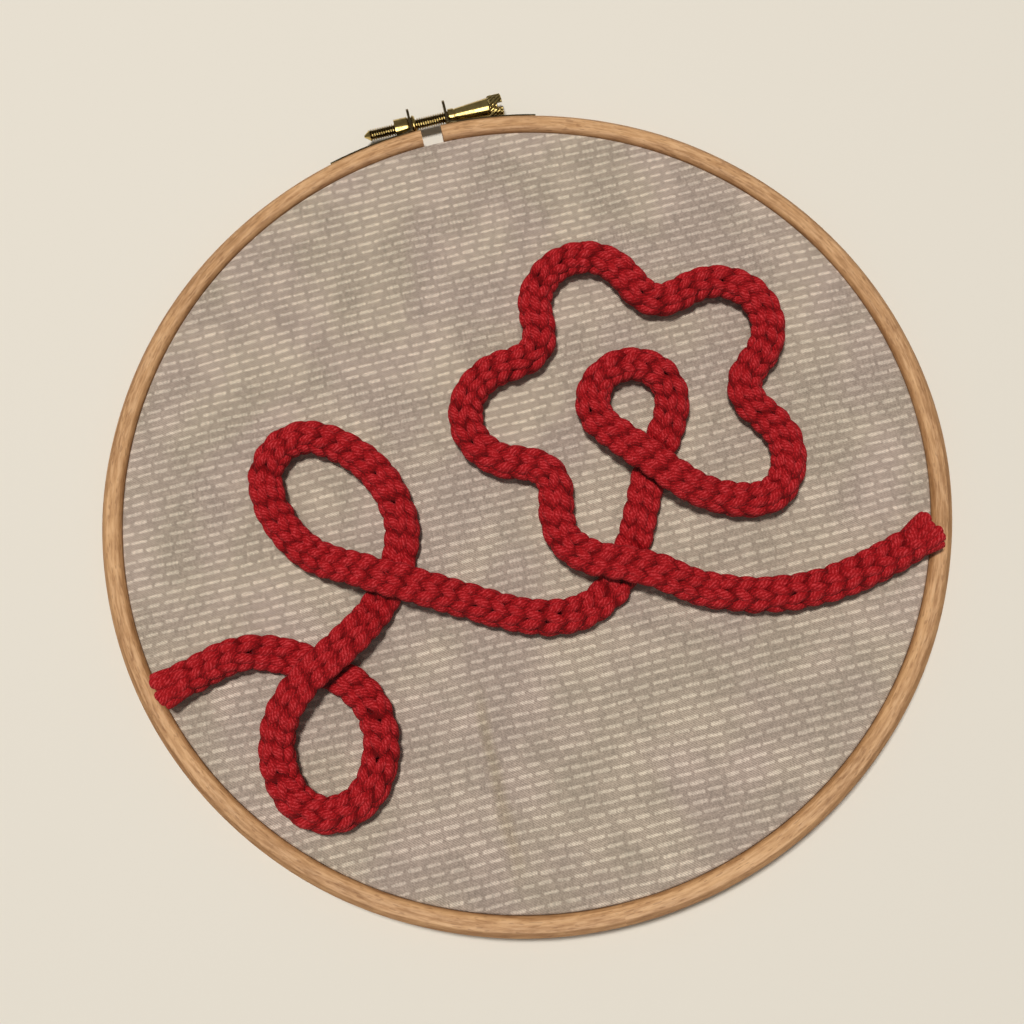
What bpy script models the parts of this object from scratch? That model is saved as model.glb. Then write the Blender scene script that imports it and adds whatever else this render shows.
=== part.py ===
"""Embroidery hoop wall art: cotton stretched in a beech hoop, with a sprig laid in knitted cord.

The hoop lies on its back. Z is up and out of the cloth's face, and Y points to the screw. The
printed rows of the cloth run along X. The origin is under the middle of the whole thing's box.
Every length is in metres, and MM turns millimetres into them.
"""

import math
from typing import NamedTuple

import bmesh
import bpy
import numpy as np

MM = 0.001
GAP = 0.3 * MM  # between pieces that touch
TURN_STEPS = 72  # facets round each hoop and the cloth

OUTER_R = 107.0 * MM
OUTER_WALL = 5.1 * MM
OUTER_DEPTH = 9.0 * MM
FRONT_ROUND = 1.7 * MM
BACK_ROUND = 0.8 * MM
SPLIT = 5.6 * MM  # between the two ends of the outer hoop

CLOTH_THICK = 1.0 * MM
CLOTH_TOP = 7.8 * MM
CLOTH_HEM = 0.6 * MM  # how high over the back the cloth's edge ends
CLOTH_ROUND = 1.2 * MM

INNER_WALL = 4.6 * MM
INNER_ROUND = 0.7 * MM

STRIP_WIDE = 6.4 * MM
STRIP_THICK = 0.7 * MM
STRIP_LONG_DEG = 12.9  # how far a bracket's strip runs round the hoop from its ear
EAR_X = 5.1 * MM  # from the middle of the split to the middle of each ear
EAR_ABOVE = 8.3 * MM  # top of the ears over the wood
EAR_ROUND = 2.2 * MM
SCREW_ABOVE = 3.9 * MM  # screw's axis over the wood
SCREW_STEPS = 24

ROD_R = 1.65 * MM
ROD_CLEAR = 0.28 * MM  # the rod turns in the nut and in the ears with this round it
TIP_X = -18.4 * MM
TIP_LONG = 1.8 * MM
TIP_END_R = 0.3 * MM
COLLAR_R = 2.05 * MM
COLLAR_LONG = 1.6 * MM
GROOVE_R = 1.75 * MM
GROOVE_LONG = 0.4 * MM
BARREL_START_R = 1.85 * MM
BARREL_END_R = 2.6 * MM
BARREL_END_X = 17.1 * MM
HEAD_R = 3.05 * MM
HEAD_END_X = 21.0 * MM
HEAD_BEVEL = 0.35 * MM
SLOT_WIDE = 0.9 * MM
SLOT_DEEP = 1.5 * MM

NUT_R = 2.6 * MM
NUT_LONG = 3.8 * MM
NUT_NECK_R = 2.25 * MM
NUT_LIP_LONG = 0.8 * MM
EAR_BORE_R = NUT_NECK_R + GAP

CORD_WIDE = 9.3 * MM
CORD_HIGH = 6.8 * MM
CORD_PRESSED = 4.2 * MM  # how high the lower strand is where two strands cross
CORD_RIBS = 8
RIB_DEPTH = 0.12  # of the cord's radius
CORD_STEP = 3.8 * MM
ROUTE_STEP = 1.0 * MM
ROUTE_SOFTNESS = 3.0 * MM  # length over which the yarn evens out the route's turns
CROSS_MARGIN = 1.0 * MM
CROSS_RAMP = 14.0 * MM
END_LIFT_RAMP = 12.0 * MM
END_R = 102.6 * MM  # the cord's cut ends lap this far onto the wood
START_DEG = 197.0
FINISH_DEG = -19.5


class Leaf(NamedTuple):
    """A loop of the cord that draws a leaf, in millimetres from the hoop's middle."""

    base_x: float
    base_y: float
    tip_deg: float
    length: float
    width: float
    way: int  # 1 or -1, for the side that the cord takes first


# Places that the cord passes, (x, y) in millimetres from the hoop's middle, in its order
FROM_THE_RIM = ((-88.0, -27.0), (-73.0, -24.5))
LOWER_LEAF = Leaf(-55.0, -28.0, 261, 40.0, 26.0, 1)
BETWEEN_LEAVES = ((-44.0, -24.5),)
UPPER_LEAF = Leaf(-30.0, -19.0, 122, 52.0, 27.0, -1)
STEM = ((-17.0, -26.0), (-5.0, -32.5), (7.0, -34.5), (18.0, -29.0), (26.0, -17.0), (33.0, -3.0))
OUT_OF_THE_EYE = ((34.5, -3.0), (41.5, -11.0))
TO_THE_RIM = ((27.0, -29.0), (37.0, -35.5), (50.0, -40.5), (65.0, -42.0), (81.0, -39.5))

# Half of a leaf's outline: (along, across) as shares of its length and width
HALF_LEAF = ((0.24, 0.25), (0.50, 0.48), (0.77, 0.44), (0.97, 0.20))

FLOWER = np.array([33.0, 15.0]) * MM
PETALS = 5
FIRST_PETAL_DEG = -44.0
PETAL_OUT = 29.5 * MM  # from the flower's middle to the middle of a petal's arc
PETAL_R = 13.3 * MM
NOTCH_R = 7.4 * MM
EYE_R = 10.5 * MM
EYE_DEGS = (-40, 0, 40, 80, 120, 160, 200, 232)
PETAL_DEGS = (-75, -40, 0, 40, 75)
FIRST_PETAL_DEGS = (-25, 5, 40, 75)  # it starts from the flower's eye
LAST_PETAL_DEGS = (-75, -40, -5, 20)  # it runs out into the tail
NOTCH_DEGS = (32, 0, -32)

BEECH = ((0.62, 0.40, 0.22), 0.45, 0.0)
COTTON = ((0.62, 0.57, 0.50), 0.9, 0.0)
RED_YARN = ((0.62, 0.03, 0.05), 0.85, 0.0)
BRASS = ((0.62, 0.47, 0.20), 0.35, 1.0)

OUTER_INSIDE_R = OUTER_R - OUTER_WALL
CLOTH_R = OUTER_INSIDE_R - GAP
INNER_R = CLOTH_R - CLOTH_THICK - GAP
INNER_TOP = CLOTH_TOP - CLOTH_THICK - GAP
MIDDLE_Y = -EAR_ABOVE / 2  # the hoop's middle, which puts the whole box's middle on the origin
AXIS_Y = MIDDLE_Y + OUTER_R + SCREW_ABOVE
AXIS_Z = OUTER_DEPTH / 2
STRIP_INSIDE_R = OUTER_R + GAP
CORD_REST = CLOTH_TOP + GAP


def turned(vector, degrees):
    """A flat vector turned anticlockwise."""
    a = math.radians(degrees)
    c, s = math.cos(a), math.sin(a)
    return np.array([c * vector[0] - s * vector[1], s * vector[0] + c * vector[1]])


def clear_scene():
    for thing in list(bpy.data.objects):
        bpy.data.objects.remove(thing, do_unlink=True)


def new_collection(name, hidden=False):
    collection = bpy.data.collections.new(name)
    bpy.context.scene.collection.children.link(collection)
    collection.hide_render = hidden
    return collection


def new_material(name, finish):
    colour, roughness, metallic = finish
    material = bpy.data.materials.new(name)
    material.use_nodes = True
    shader = material.node_tree.nodes["Principled BSDF"]
    shader.inputs["Base Color"].default_value = (*colour, 1.0)
    shader.inputs["Roughness"].default_value = roughness
    shader.inputs["Metallic"].default_value = metallic
    return material


def new_object(name, mesh, collection, material=None, location=(0, 0, 0), rotation=(0, 0, 0)):
    thing = bpy.data.objects.new(name, mesh)
    thing.location = location
    thing.rotation_euler = rotation
    if material is not None:
        mesh.materials.append(material)
    collection.objects.link(thing)
    return thing


def hide_helper(thing):
    thing.hide_render = True
    thing.display_type = "WIRE"


def shade(thing, degrees=35):
    thing.data.shade_smooth()
    thing.data.set_sharp_from_angle(angle=math.radians(degrees))


def rounded_corner(x, z, radius, start_deg, steps=3):
    """Points round a corner whose sharp point is at x, z, clockwise from start_deg."""
    out = []
    mid = start_deg - 45
    cx = x - radius * math.copysign(1, math.cos(math.radians(mid)))
    cz = z - radius * math.copysign(1, math.sin(math.radians(mid)))
    for i in range(steps):
        a = math.radians(start_deg - 90 * i / (steps - 1))
        out.append((cx + radius * math.cos(a), cz + radius * math.sin(a)))
    return out


def add_turned(name, profile, collection, material, steps, closed=False, **place):
    """A profile of (radius, height) points turned once about its own Z axis."""
    mesh = bpy.data.meshes.new(name)
    edges = [(i, i + 1) for i in range(len(profile) - 1)]
    if closed:
        edges.append((len(profile) - 1, 0))
    mesh.from_pydata([(r, 0, z) for r, z in profile], edges, [])
    thing = new_object(name, mesh, collection, material, **place)
    screw = thing.modifiers.new("Turn", "SCREW")
    screw.axis = "Z"
    screw.steps = screw.render_steps = steps
    screw.use_merge_vertices = True
    screw.merge_threshold = 0.00001
    screw.use_smooth_shade = True
    return thing


def add_boolean(thing, operation, other):
    modifier = thing.modifiers.new(operation.title(), "BOOLEAN")
    modifier.operation = operation
    modifier.solver = "EXACT"
    modifier.object = other


def add_box(name, size, location, cutters):
    mesh = bpy.data.meshes.new(name)
    bm = bmesh.new()
    bmesh.ops.create_cube(bm, size=1.0)
    bmesh.ops.scale(bm, vec=size, verts=bm.verts)
    bm.to_mesh(mesh)
    bm.free()
    box = new_object(name, mesh, cutters, location=location)
    hide_helper(box)
    return box


def hoop_section(inside, outside, bottom, top, front_round, back_round):
    """A hoop's section, clockwise seen with the radius to the right: over the top, down the outside."""
    return (
        rounded_corner(inside, top, front_round, 180)
        + rounded_corner(outside, top, front_round, 90)
        + rounded_corner(outside, bottom, back_round, 0)
        + rounded_corner(inside, bottom, back_round, -90)
    )


def make_outer_hoop(parts, cutters, wood):
    profile = hoop_section(OUTER_INSIDE_R, OUTER_R, 0, OUTER_DEPTH, FRONT_ROUND, BACK_ROUND)
    hoop = add_turned(
        "outer_hoop", profile, parts, wood, TURN_STEPS, closed=True, location=(0, MIDDLE_Y, 0)
    )
    split = add_box(
        "split_cutter",
        (SPLIT, 4 * OUTER_WALL, 2 * OUTER_DEPTH),
        (0, MIDDLE_Y + OUTER_R - OUTER_WALL / 2, OUTER_DEPTH / 2),
        cutters,
    )
    add_boolean(hoop, "DIFFERENCE", split)


def make_inner_hoop(parts, wood):
    profile = hoop_section(INNER_R - INNER_WALL, INNER_R, 0, INNER_TOP, INNER_ROUND, INNER_ROUND)
    add_turned(
        "inner_hoop", profile, parts, wood, TURN_STEPS, closed=True, location=(0, MIDDLE_Y, 0)
    )


def make_cloth(parts, cotton):
    """The cloth: flat over the inner hoop, then down between the two hoops to its trimmed edge."""
    underside = CLOTH_TOP - CLOTH_THICK
    inside_r = CLOTH_R - CLOTH_THICK
    inside_round = CLOTH_ROUND - CLOTH_THICK
    inner_corner = rounded_corner(inside_r, underside, inside_round, 90)
    profile = [(0, CLOTH_TOP)]
    profile += rounded_corner(CLOTH_R, CLOTH_TOP, CLOTH_ROUND, 90)
    profile += [(CLOTH_R, CLOTH_HEM), (inside_r, CLOTH_HEM)]
    profile += inner_corner[::-1]
    profile += [(0, underside)]
    add_turned("cloth", profile, parts, cotton, TURN_STEPS, location=(0, MIDDLE_Y, 0))


def flat_mesh(name, points, thickness):
    """The mesh of a flat outline in its own XY plane, this thick about Z = 0."""
    curve = bpy.data.curves.new(name, "CURVE")
    curve.dimensions = "2D"
    curve.fill_mode = "BOTH"
    curve.extrude = thickness / 2
    spline = curve.splines.new("POLY")
    spline.points.add(len(points) - 1)
    for point, (x, y) in zip(spline.points, points):
        point.co = (x, y, 0, 1)
    spline.use_cyclic_u = True
    guide = bpy.data.objects.new(name + "_outline", curve)
    bpy.context.scene.collection.objects.link(guide)
    bpy.context.view_layer.update()
    mesh = bpy.data.meshes.new_from_object(guide.evaluated_get(bpy.context.evaluated_depsgraph_get()))
    bpy.data.objects.remove(guide, do_unlink=True)
    bm = bmesh.new()
    bm.from_mesh(mesh)
    bmesh.ops.remove_doubles(bm, verts=bm.verts, dist=0.00001)
    bmesh.ops.recalc_face_normals(bm, faces=bm.faces)
    bm.to_mesh(mesh)
    bm.free()
    mesh.name = name
    return mesh


def ear_outline():
    """An ear, seen along the screw: X is up from the wood, Y is across the strip."""
    half = STRIP_WIDE / 2
    out = [(GAP, half)]
    out += rounded_corner(EAR_ABOVE, half, EAR_ROUND, 90, 4)
    out += rounded_corner(EAR_ABOVE, -half, EAR_ROUND, 0, 4)
    out += [(GAP, -half)]
    return out


def strip_outline(side, steps=8):
    """A bracket's strip, seen from the front: it follows the hoop's outside away from its ear."""
    start = 90 - side * math.degrees(math.asin(EAR_X / OUTER_R))
    degrees = [start - side * STRIP_LONG_DEG * i / steps for i in range(steps + 1)]
    inner = [turned((STRIP_INSIDE_R, 0), d) for d in degrees]
    outer = [turned((STRIP_INSIDE_R + STRIP_THICK, 0), d) for d in reversed(degrees)]
    return inner + outer


def make_bracket(side, name, bore_r, parts, cutters, brass):
    """One brass bracket; side is -1 for the nut's and 1 for the head's."""
    ear = new_object(
        name,
        flat_mesh(name, ear_outline(), STRIP_THICK),
        parts,
        brass,
        location=(side * EAR_X, MIDDLE_Y + OUTER_R, AXIS_Z),
        rotation=(math.radians(90), 0, math.radians(90)),
    )
    strip = new_object(
        name + "_strip",
        flat_mesh(name + "_strip", strip_outline(side), STRIP_WIDE),
        cutters,
        location=(0, MIDDLE_Y, AXIS_Z),
    )
    hide_helper(strip)
    add_boolean(ear, "UNION", strip)
    reach = 2 * STRIP_THICK
    bore = add_turned(
        name + "_bore",
        [(0, reach), (bore_r, reach), (bore_r, -reach), (0, -reach)],
        cutters,
        None,
        SCREW_STEPS,
        location=(side * EAR_X, AXIS_Y, AXIS_Z),
        rotation=(0, math.radians(90), 0),
    )
    hide_helper(bore)
    add_boolean(ear, "DIFFERENCE", bore)


def make_nut(parts, brass):
    """The nut, riveted in the left ear: its body outside, a neck through the ear, a lip inside."""
    outside = -EAR_X - STRIP_THICK / 2 - GAP
    inside = -EAR_X + STRIP_THICK / 2 + GAP
    bore = ROD_R + ROD_CLEAR
    edge = HEAD_BEVEL
    profile = [
        (bore, inside + NUT_LIP_LONG),
        (NUT_R, inside + NUT_LIP_LONG),
        (NUT_R, inside),
        (NUT_NECK_R, inside),
        (NUT_NECK_R, outside),
        (NUT_R, outside),
        (NUT_R, outside - NUT_LONG + edge),
        (NUT_R - edge, outside - NUT_LONG),
        (bore, outside - NUT_LONG),
    ]
    nut = add_turned(
        "nut", profile, parts, brass, SCREW_STEPS, closed=True,
        location=(0, AXIS_Y, AXIS_Z), rotation=(0, math.radians(90), 0),
    )
    shade(nut)


def make_screw(parts, cutters, brass):
    """The tension screw: pointed rod, collar against the right ear, tapered barrel and slotted head."""
    collar = EAR_X + STRIP_THICK / 2 + GAP
    barrel = collar + COLLAR_LONG + GROOVE_LONG
    profile = [
        (0, HEAD_END_X),
        (HEAD_R - HEAD_BEVEL, HEAD_END_X),
        (HEAD_R, HEAD_END_X - HEAD_BEVEL),
        (HEAD_R, BARREL_END_X + HEAD_BEVEL),
        (BARREL_END_R, BARREL_END_X),
        (BARREL_START_R, barrel),
        (GROOVE_R, barrel),
        (GROOVE_R, barrel - GROOVE_LONG),
        (COLLAR_R, barrel - GROOVE_LONG),
        (COLLAR_R, collar),
        (ROD_R, collar),
        (ROD_R, TIP_X + TIP_LONG),
        (TIP_END_R, TIP_X),
        (0, TIP_X),
    ]
    screw = add_turned(
        "tension_screw", profile, parts, brass, SCREW_STEPS,
        location=(0, AXIS_Y, AXIS_Z), rotation=(0, math.radians(90), 0),
    )
    slot = add_box(
        "slot_cutter",
        (2 * SLOT_DEEP, 4 * HEAD_R, SLOT_WIDE),
        (HEAD_END_X, AXIS_Y, AXIS_Z),
        cutters,
    )
    add_boolean(screw, "DIFFERENCE", slot)


def places(table):
    """A table of places in millimetres, as points in metres."""
    return [np.array(row) * MM for row in table]


def leaf_points(leaf):
    """Points round a leaf from its base and back to it."""
    base = np.array([leaf.base_x, leaf.base_y])
    shape = HALF_LEAF + tuple((along, -across) for along, across in reversed(HALF_LEAF))
    steps = [(along * leaf.length, leaf.way * across * leaf.width) for along, across in shape]
    return [(base + turned(step, leaf.tip_deg)) * MM for step in steps]


def flower_points():
    """Points round the petals, anticlockwise from inside the first one to the foot of the last."""
    half_step = 180 / PETALS
    along = PETAL_OUT * math.cos(math.radians(half_step))
    notch_out = along + math.sqrt(along**2 - PETAL_OUT**2 + (PETAL_R + NOTCH_R) ** 2)
    arcs = [FIRST_PETAL_DEGS] + [PETAL_DEGS] * (PETALS - 2) + [LAST_PETAL_DEGS]
    out = []
    for k, arc in enumerate(arcs):
        axis = FIRST_PETAL_DEG + 2 * half_step * k
        petal = FLOWER + turned((PETAL_OUT, 0), axis)
        out += [petal + turned((PETAL_R, 0), axis + degrees) for degrees in arc]
        if arc is not LAST_PETAL_DEGS:
            inward = axis + half_step + 180
            notch = FLOWER - turned((notch_out, 0), inward)
            out += [notch + turned((NOTCH_R, 0), inward + degrees) for degrees in NOTCH_DEGS]
    return out


def route_points():
    """The points that the cord passes, seen from the front and counted from the hoop's middle."""
    points = [turned((END_R, 0), START_DEG)]
    points += places(FROM_THE_RIM) + leaf_points(LOWER_LEAF)
    points += places(BETWEEN_LEAVES) + leaf_points(UPPER_LEAF)
    points += places(STEM) + [FLOWER + turned((EYE_R, 0), degrees) for degrees in EYE_DEGS]
    points += places(OUT_OF_THE_EYE) + flower_points() + places(TO_THE_RIM)
    points += [turned((END_R, 0), FINISH_DEG)]
    return np.array(points)


def smooth_line(points, per_span=16):
    """A centripetal Catmull-Rom curve through the points."""
    ends = np.vstack([2 * points[0] - points[1], points, 2 * points[-1] - points[-2]])
    out = []
    for i in range(1, len(ends) - 2):
        p = ends[i - 1 : i + 3]
        knots = np.concatenate([[0], np.cumsum(np.sqrt(np.linalg.norm(np.diff(p, axis=0), axis=1)))])
        spans = ((knots[:3], knots[1:]), (knots[:2], knots[2:]), (knots[1:2], knots[2:3]))
        for t in np.linspace(knots[1], knots[2], per_span, endpoint=False):
            level = list(p)
            for lows, highs in spans:
                pairs = zip(lows, highs, level, level[1:])
                level = [((high - t) * a + (t - low) * b) / (high - low) for low, high, a, b in pairs]
            out.append(level[0])
    out.append(points[-1])
    return np.array(out)


def evenly(line, step):
    """The same line with points an even step apart."""
    along = np.concatenate([[0], np.cumsum(np.linalg.norm(np.diff(line, axis=0), axis=1))])
    at = np.linspace(0, along[-1], round(along[-1] / step) + 1)
    return np.stack([np.interp(at, along, line[:, k]) for k in range(line.shape[1])], axis=1)


def softened(line, spread, step):
    """The line averaged along its length, its ends kept in place."""
    reach = int(4 * spread / step)
    weights = np.exp(-0.5 * (np.arange(-reach, reach + 1) * step / spread) ** 2)
    weights /= weights.sum()
    padded = np.vstack(
        [2 * line[0] - line[reach:0:-1], line, 2 * line[-1] - line[-2 : -reach - 2 : -1]]
    )
    return np.stack([np.convolve(padded[:, k], weights, "valid") for k in range(2)], axis=1)


def cross(a, b):
    return a[..., 0] * b[..., 1] - a[..., 1] * b[..., 0]


def crossings(line):
    """Where the line passes over itself: (first place, second place, angle) in steps and radians."""
    found = []
    runs = np.diff(line, axis=0)
    for i in range(len(runs) - 2):
        others = np.arange(i + 2, len(runs))
        between = line[others] - line[i]
        area = cross(runs[i], runs[others])
        area = np.where(np.abs(area) < 1e-15, 1e-15, area)
        s = cross(between, runs[others]) / area
        t = cross(between, runs[i]) / area
        for j in others[(s >= 0) & (s < 1) & (t >= 0) & (t < 1)]:
            sine = abs(cross(runs[i], runs[j])) / np.linalg.norm(runs[i]) / np.linalg.norm(runs[j])
            found.append((i, int(j), math.asin(min(1.0, sine))))
    return found


def bump(distance, flat, ramp):
    """1 within flat of a place, falling smoothly to 0 over the ramp beyond it."""
    t = np.clip((np.abs(distance) - flat) / ramp, 0, 1)
    return 1 - t * t * (3 - 2 * t)


def cord_route():
    """The cord's middle line (x, y, z) from the hoop's middle, and its height at each point."""
    line = evenly(smooth_line(route_points()), ROUTE_STEP)
    line = evenly(softened(line, ROUTE_SOFTNESS, ROUTE_STEP), ROUTE_STEP)
    along = np.arange(len(line)) * ROUTE_STEP
    pressed = np.zeros(len(line))
    lifted = np.zeros(len(line))
    for first, second, angle in crossings(line):
        half = CORD_WIDE / 2
        flat = half / math.sin(angle) + half / math.tan(angle) + CROSS_MARGIN
        for place in (first, second):
            pressed = np.maximum(pressed, bump(along - along[place], flat, CROSS_RAMP))
        lifted = np.maximum(lifted, bump(along - along[second], flat, CROSS_RAMP))
    high = CORD_HIGH - (CORD_HIGH - CORD_PRESSED) * pressed
    ends = np.minimum(along, along[-1] - along)
    onto_wood = (OUTER_DEPTH - CLOTH_TOP) * bump(ends, 0, END_LIFT_RAMP)
    bottom = CORD_REST + onto_wood + (CORD_PRESSED + GAP) * lifted
    return np.column_stack([line, bottom + high / 2]), high


def cord_section(wide, high):
    """The ribbed section: (across, up) points, anticlockwise seen along the cord."""
    out = []
    for i in range(2 * CORD_RIBS):
        a = math.pi * (i + 0.5) / CORD_RIBS
        size = 1.0 if i % 2 == 0 else 1.0 - RIB_DEPTH
        out.append((size * math.cos(a) * wide / 2, size * math.sin(a) * high / 2))
    return out


def make_cord(parts, yarn):
    """The knitted cord, sewn down on the cloth: one tube lofted along the sprig's line."""
    line, high = cord_route()
    both = evenly(np.column_stack([line, high]), CORD_STEP)
    line, high = both[:, :3], both[:, 3]
    ahead = np.gradient(line, axis=0)
    bm = bmesh.new()
    rings = []
    for place, way, tall in zip(line, ahead, high):
        way = way / np.linalg.norm(way)
        side = np.array([way[1], -way[0], 0.0]) / math.hypot(way[0], way[1])
        up = np.cross(side, way)
        section = cord_section(CORD_WIDE, tall)
        rings.append([bm.verts.new(place + side * x + up * z) for x, z in section])
    for near, far in zip(rings, rings[1:]):
        for j in range(len(near)):
            k = (j + 1) % len(near)
            bm.faces.new((near[j], near[k], far[k], far[j]))
    bm.faces.new(rings[0][::-1])
    bm.faces.new(rings[-1])
    bmesh.ops.recalc_face_normals(bm, faces=bm.faces)
    mesh = bpy.data.meshes.new("knitted_cord")
    bm.to_mesh(mesh)
    bm.free()
    cord = new_object("knitted_cord", mesh, parts, yarn, location=(0, MIDDLE_Y, 0))
    shade(cord, 60)


def main():
    clear_scene()
    parts = new_collection("embroidery_hoop_art")
    cutters = new_collection("cutters", hidden=True)
    wood = new_material("beech", BEECH)
    cotton = new_material("printed_cotton", COTTON)
    yarn = new_material("red_yarn", RED_YARN)
    brass = new_material("brass", BRASS)
    make_outer_hoop(parts, cutters, wood)
    make_inner_hoop(parts, wood)
    make_cloth(parts, cotton)
    make_cord(parts, yarn)
    make_bracket(-1, "bracket_left", EAR_BORE_R, parts, cutters, brass)
    make_bracket(1, "bracket_right", ROD_R + ROD_CLEAR, parts, cutters, brass)
    make_nut(parts, brass)
    make_screw(parts, cutters, brass)


main()
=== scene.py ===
"""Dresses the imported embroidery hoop: beech rings, printed cotton, a sprig of knitted cord and brass.

The frame's solids say where everything is. Lengths in the classes are in metres, and MM turns
millimetres into them. The hoop lies on its back on the floor, Z is out of the cloth's face, and Y
points to the screw.
"""

from __future__ import annotations

import logging
import math
from collections.abc import Callable, Iterable, Sequence
from dataclasses import dataclass, field
from enum import Enum
from typing import Any, NamedTuple

import bmesh
import bpy
import numpy as np
from mathutils import Matrix, Vector, noise

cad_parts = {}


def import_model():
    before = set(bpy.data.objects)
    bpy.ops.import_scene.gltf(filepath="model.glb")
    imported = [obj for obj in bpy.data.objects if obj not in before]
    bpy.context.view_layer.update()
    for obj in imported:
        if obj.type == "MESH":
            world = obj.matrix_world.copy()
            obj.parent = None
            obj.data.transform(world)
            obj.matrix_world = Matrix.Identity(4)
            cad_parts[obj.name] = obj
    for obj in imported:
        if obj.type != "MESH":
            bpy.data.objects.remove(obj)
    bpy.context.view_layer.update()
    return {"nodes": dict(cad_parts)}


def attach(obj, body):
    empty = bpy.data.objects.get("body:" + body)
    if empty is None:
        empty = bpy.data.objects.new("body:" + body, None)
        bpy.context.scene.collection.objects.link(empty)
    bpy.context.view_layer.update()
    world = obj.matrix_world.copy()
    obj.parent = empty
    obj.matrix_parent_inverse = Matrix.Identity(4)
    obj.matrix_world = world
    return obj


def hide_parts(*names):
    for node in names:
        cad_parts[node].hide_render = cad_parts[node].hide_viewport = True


LOG = logging.getLogger("hoop")
MM = 0.001

GAP = 0.3 * MM  # between neighbouring solids
HOOP_MIDDLE_Y = -4.15 * MM
OUTER_R = 107.0 * MM
OUTER_WALL = 5.1 * MM
OUTER_DEPTH = 9.0 * MM
CLOTH_TOP = 7.8 * MM
AXIS_Y = HOOP_MIDDLE_Y + OUTER_R + 3.9 * MM
AXIS_Z = OUTER_DEPTH / 2

Colour = tuple[float, float, float]
Point = tuple[float, float, float]
Profile = list[tuple[float, float]]
BMesh = bmesh.types.BMesh
Mesh = bpy.types.Mesh
Thing = bpy.types.Object
Material = bpy.types.Material


class Body(str, Enum):
    """The two rigid bodies that the pieces ride on."""

    HOOP = "hoop"
    SCREW = "screw"


class Slot(str, Enum):
    """The record's material slots."""

    BEECH = "beech"
    COTTON = "cotton"
    YARN = "yarn"
    BRASS = "brass"


def rgba(colour: Colour) -> tuple[float, float, float, float]:
    """A colour with full opacity."""
    return (*colour, 1.0)


class Value:
    """A node's output that adds Math nodes when it is used in an expression."""

    def __init__(self, tree: Tree, socket: bpy.types.NodeSocket) -> None:
        self.tree = tree
        self.socket = socket

    def _math(self, operation: str, *values: Any) -> Value:
        """A Math node on these values, in their order."""
        return self.tree.node("ShaderNodeMath", {"operation": operation}, dict(enumerate(values)))

    def __add__(self, other: Any) -> Value:
        """self + other"""
        return self._math("ADD", self, other)

    __radd__ = __add__

    def __sub__(self, other: Any) -> Value:
        """self - other"""
        return self._math("SUBTRACT", self, other)

    def __rsub__(self, other: Any) -> Value:
        """other - self"""
        return self._math("SUBTRACT", other, self)

    def __mul__(self, other: Any) -> Value:
        """self * other"""
        return self._math("MULTIPLY", self, other)

    __rmul__ = __mul__

    def __truediv__(self, other: Any) -> Value:
        """self / other"""
        return self._math("DIVIDE", self, other)

    def __abs__(self) -> Value:
        """The value without its sign."""
        return self._math("ABSOLUTE", self)

    def floor(self) -> Value:
        """The whole number below."""
        return self._math("FLOOR", self)

    def sin(self) -> Value:
        """The sine of the value in radians."""
        return self._math("SINE", self)

    def root(self) -> Value:
        """The square root."""
        return self._math("SQRT", self)

    def at_least(self, other: Any) -> Value:
        """The larger of the two."""
        return self._math("MAXIMUM", self, other)

    def at_most(self, other: Any) -> Value:
        """The smaller of the two."""
        return self._math("MINIMUM", self, other)

    def atan2(self, other: Any) -> Value:
        """The angle whose sine and cosine go as self and other."""
        return self._math("ARCTAN2", self, other)

    def step(self, low: float, high: float, start: float = 0.0, end: float = 1.0) -> Value:
        """A smooth step.

        Args:
            low: where it starts; it may be above high, for a step down.
            high: where it ends.
            start: its value up to low.
            end: its value from high on.

        Returns:
            The stepped value.
        """
        return self.tree.node(
            "ShaderNodeMapRange",
            {"interpolation_type": "SMOOTHSTEP"},
            {"Value": self, "From Min": low, "From Max": high, "To Min": start, "To Max": end},
        )


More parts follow.
